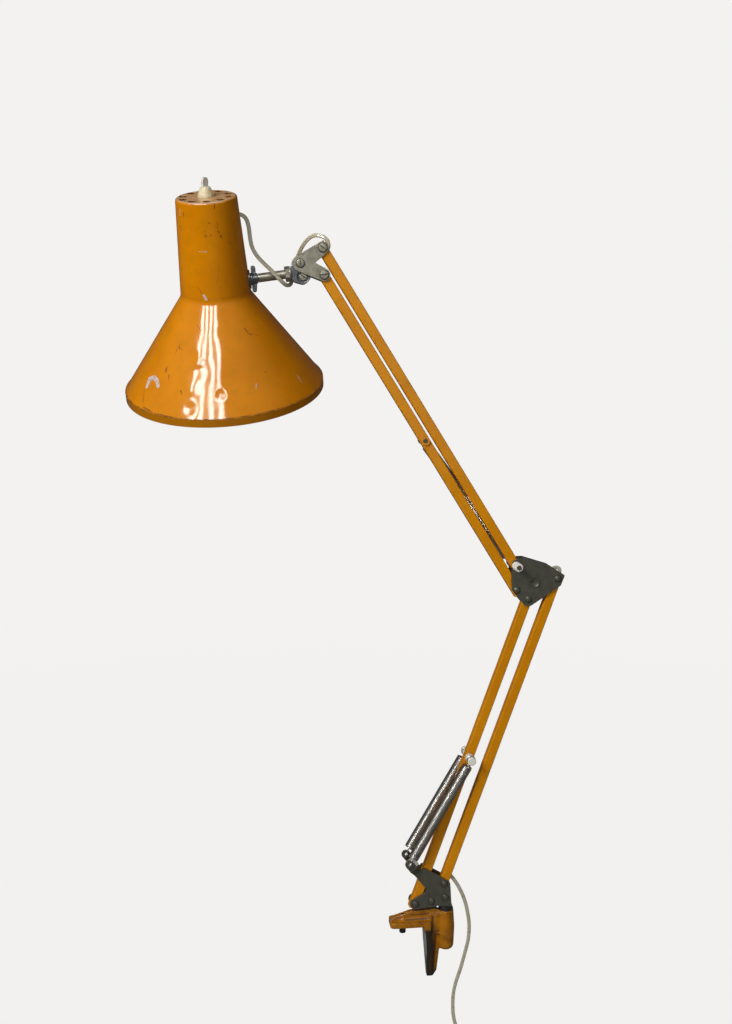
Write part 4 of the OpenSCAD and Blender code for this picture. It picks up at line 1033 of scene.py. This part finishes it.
# ---- Stage ----
def stage_finish(name, near_share):
    """A plain surface that takes the lamp's shadow near it, and melts into the backdrop far off."""
    f = Finish(name)
    colour = tuple(settings("stage").backdrop)
    light = f.node("LightPath")
    seen = f.most(light.outputs["Is Camera Ray"], light.outputs["Is Transmission Ray"])
    f.set(Base_Color=f.blend(seen, (0.25, 0.25, 0.24), colour), Roughness=0.9, Specular_IOR_Level=0.1)
    share = f.between(f.vector("LENGTH", f.place), 1.5, 5.0, near_share, 1.0)
    glow = f.node("Emission", {"Color": colour, "Strength": 1.0}).outputs[0]
    mixed = f.node("MixShader", {0: f.times(seen, share), 1: f.shader.outputs[0], 2: glow})
    f.put(f.output.inputs["Surface"], mixed.outputs[0])
    return f.material


def area_light(name, place, aim, width, height, power, mirrored=True, lighting=True):
    """A soft box at a place, turned to a point: mirrored on shiny surfaces, and lighting matt ones."""
    light = bpy.data.lights.new(name, "AREA")
    light.shape = "RECTANGLE"
    light.size = width
    light.size_y = height
    light.energy = power
    lamp = placed(name, light)
    lamp.location = place
    lamp.rotation_euler = (Vector(aim) - Vector(place)).to_track_quat("-Z", "Y").to_euler()
    lamp.visible_glossy = mirrored
    lamp.visible_diffuse = lighting


def add_backdrop(scene):
    """A world that shows the backdrop to the view, and lights the lamp softly from the left."""
    world = bpy.data.worlds.new("Studio")
    world.use_nodes = True
    scene.world = world
    w = Wiring(world.node_tree)
    colour = tuple(settings("stage").backdrop)
    look = w.node("TexCoord").outputs["Generated"]
    lit = w.between(w.vector("DOT_PRODUCT", look, (-0.80, -0.42, 0.43)), -0.7, 0.9, 0.07, 0.26)
    glossed = w.between(w.vector("DOT_PRODUCT", look, (-0.35, -0.85, 0.40)), -0.1, 0.95, 0.05, 0.55)
    path = w.node("LightPath").outputs
    fill = w.node("Background", {"Color": (1.0, 0.98, 0.94), "Strength": lit}).outputs[0]
    mirrored = w.node("Background", {"Color": colour, "Strength": glossed}).outputs[0]
    seen = w.node("Background", {"Color": colour, "Strength": 1.0}).outputs[0]
    shown = w.node("MixShader", {0: path["Is Glossy Ray"], 1: fill, 2: mirrored}).outputs[0]
    straight = w.most(path["Is Camera Ray"], path["Is Transmission Ray"])
    mixed = w.node("MixShader", {0: straight, 1: shown, 2: seen}).outputs[0]
    w.node("OutputWorld", {"Surface": mixed})


# The camera, in metres and degrees: its pitch is below the level, and its yaw turns to the right
CAMERA_PLACE = (-0.1605, -1.040, 0.5554)
CAMERA_PITCH = 7.459
CAMERA_YAW = 6.813
SENSOR_WIDTH_MM = 36
FOCAL_LENGTH_MM = 39.73
# Half the length of the floor's sides, in metres
FLOOR_HALF = 12.0
# Directions from the shade to the raised soft boxes, in degrees: up from the level, and round from +x
LIGHT_RISE = 30
STRIP_AZIMUTHS = (-131, -121, -110, -99)


class LAMP_OT_stage(bpy.types.Operator):
    """Sets the camera, the floor, the backdrop and the soft lights."""

    bl_idname = "lamp.stage"
    bl_label = "Studio"

    def execute(self, context):
        scene = context.scene
        lens = bpy.data.cameras.new("Camera")
        lens.sensor_fit = "AUTO"
        lens.sensor_width = SENSOR_WIDTH_MM
        lens.lens = FOCAL_LENGTH_MM
        lens.clip_end = 50
        camera = placed("Camera", lens)
        camera.location = CAMERA_PLACE
        camera.rotation_euler = (math.radians(90 - CAMERA_PITCH), 0, math.radians(-CAMERA_YAW))
        scene.camera = camera
        scene.view_settings.view_transform = "Standard"

        floor_z = settings("stage").floor_height
        mesh = bpy.data.meshes.new("studio_floor")
        corners = [(x * FLOOR_HALF, y * FLOOR_HALF, floor_z) for x, y in ((-1, -1), (1, -1), (1, 1), (-1, 1))]
        mesh.from_pydata(corners, [], [(0, 1, 2, 3)])
        floor = placed("studio_floor", mesh)
        mesh.materials.append(stage_finish("Studio floor", near_share=0.97))

        add_backdrop(scene)
        aim = SHADE_MIDDLE

        def away(azimuth, distance):
            """A place above the shade's level, at an azimuth in degrees and a distance in metres."""
            turn, rise = math.radians(azimuth), math.radians(LIGHT_RISE)
            return aim + distance * Vector((
                math.cos(turn) * math.cos(rise), math.sin(turn) * math.cos(rise), math.sin(rise)))

        area_light("Key", away(-134, 1.8), aim, width=0.7, height=0.8, power=31, mirrored=False)
        low_aim = (aim + BASE_FRONT) / 2 + Vector((0.15, 0, -0.15))
        area_light("Fill", low_aim + Vector((-0.1, -1.9, 0)), low_aim,
                   width=1.2, height=1.2, power=8, mirrored=False)
        area_light("Back", aim + Vector((0.7, 1.7, 0.5)), (aim + BASE_FRONT) / 2,
                   width=1.0, height=1.0, power=14, mirrored=False)
        # A soft box of four upright strips over a dimmer sheet, which glossy enamel mirrors as bright bands
        for number, azimuth in enumerate(STRIP_AZIMUTHS, 1):
            area_light("Strip %d" % number, away(azimuth, 1.8), aim,
                       width=0.16, height=0.70, power=9.0, lighting=False)
        area_light("Sheet", away(-115, 2.0), aim, width=1.25, height=0.76, power=11.0, lighting=False)
        return {"FINISHED"}


class LAMP_PT_panel(bpy.types.Panel):
    """Lists the lamp's pieces, its studio and their settings."""

    bl_idname = "LAMP_PT_panel"
    bl_label = "Desk Lamp"
    bl_space_type = "VIEW_3D"
    bl_region_type = "UI"
    bl_category = "Desk Lamp"

    def draw(self, context):
        for group in SETTINGS:
            box = self.layout.box()
            held = settings(group)
            for name in held.__annotations__:
                box.prop(held, name)
        for operator in OPERATORS:
            self.layout.operator(operator.bl_idname)


SETTINGS = {
    "flex": LampFlexSettings,
    "springs": LampSpringSettings,
    "paint": LampPaintSettings,
    "stage": LampStageSettings,
}
OPERATORS = [
    LAMP_OT_stage,
    LAMP_OT_lead,
    LAMP_OT_joint_flex,
    LAMP_OT_springs,
    LAMP_OT_castings,
    LAMP_OT_finishes,
]


def register():
    """Adds the settings, the operators and the panel."""
    for name, group in SETTINGS.items():
        bpy.utils.register_class(group)
        setattr(bpy.types.Scene, "lamp_" + name, bpy.props.PointerProperty(type=group))
    for operator in OPERATORS:
        bpy.utils.register_class(operator)
    bpy.utils.register_class(LAMP_PT_panel)


def unregister():
    """Takes away what register added, in the opposite order."""
    bpy.utils.unregister_class(LAMP_PT_panel)
    for operator in reversed(OPERATORS):
        bpy.utils.unregister_class(operator)
    for name, group in reversed(SETTINGS.items()):
        delattr(bpy.types.Scene, "lamp_" + name)
        bpy.utils.unregister_class(group)


def main():
    """Makes the studio and every piece in order."""
    register()
    for operator in OPERATORS:
        area, name = operator.bl_idname.split(".")
        getattr(getattr(bpy.ops, area), name)()


if __name__ == "__main__":
    main()
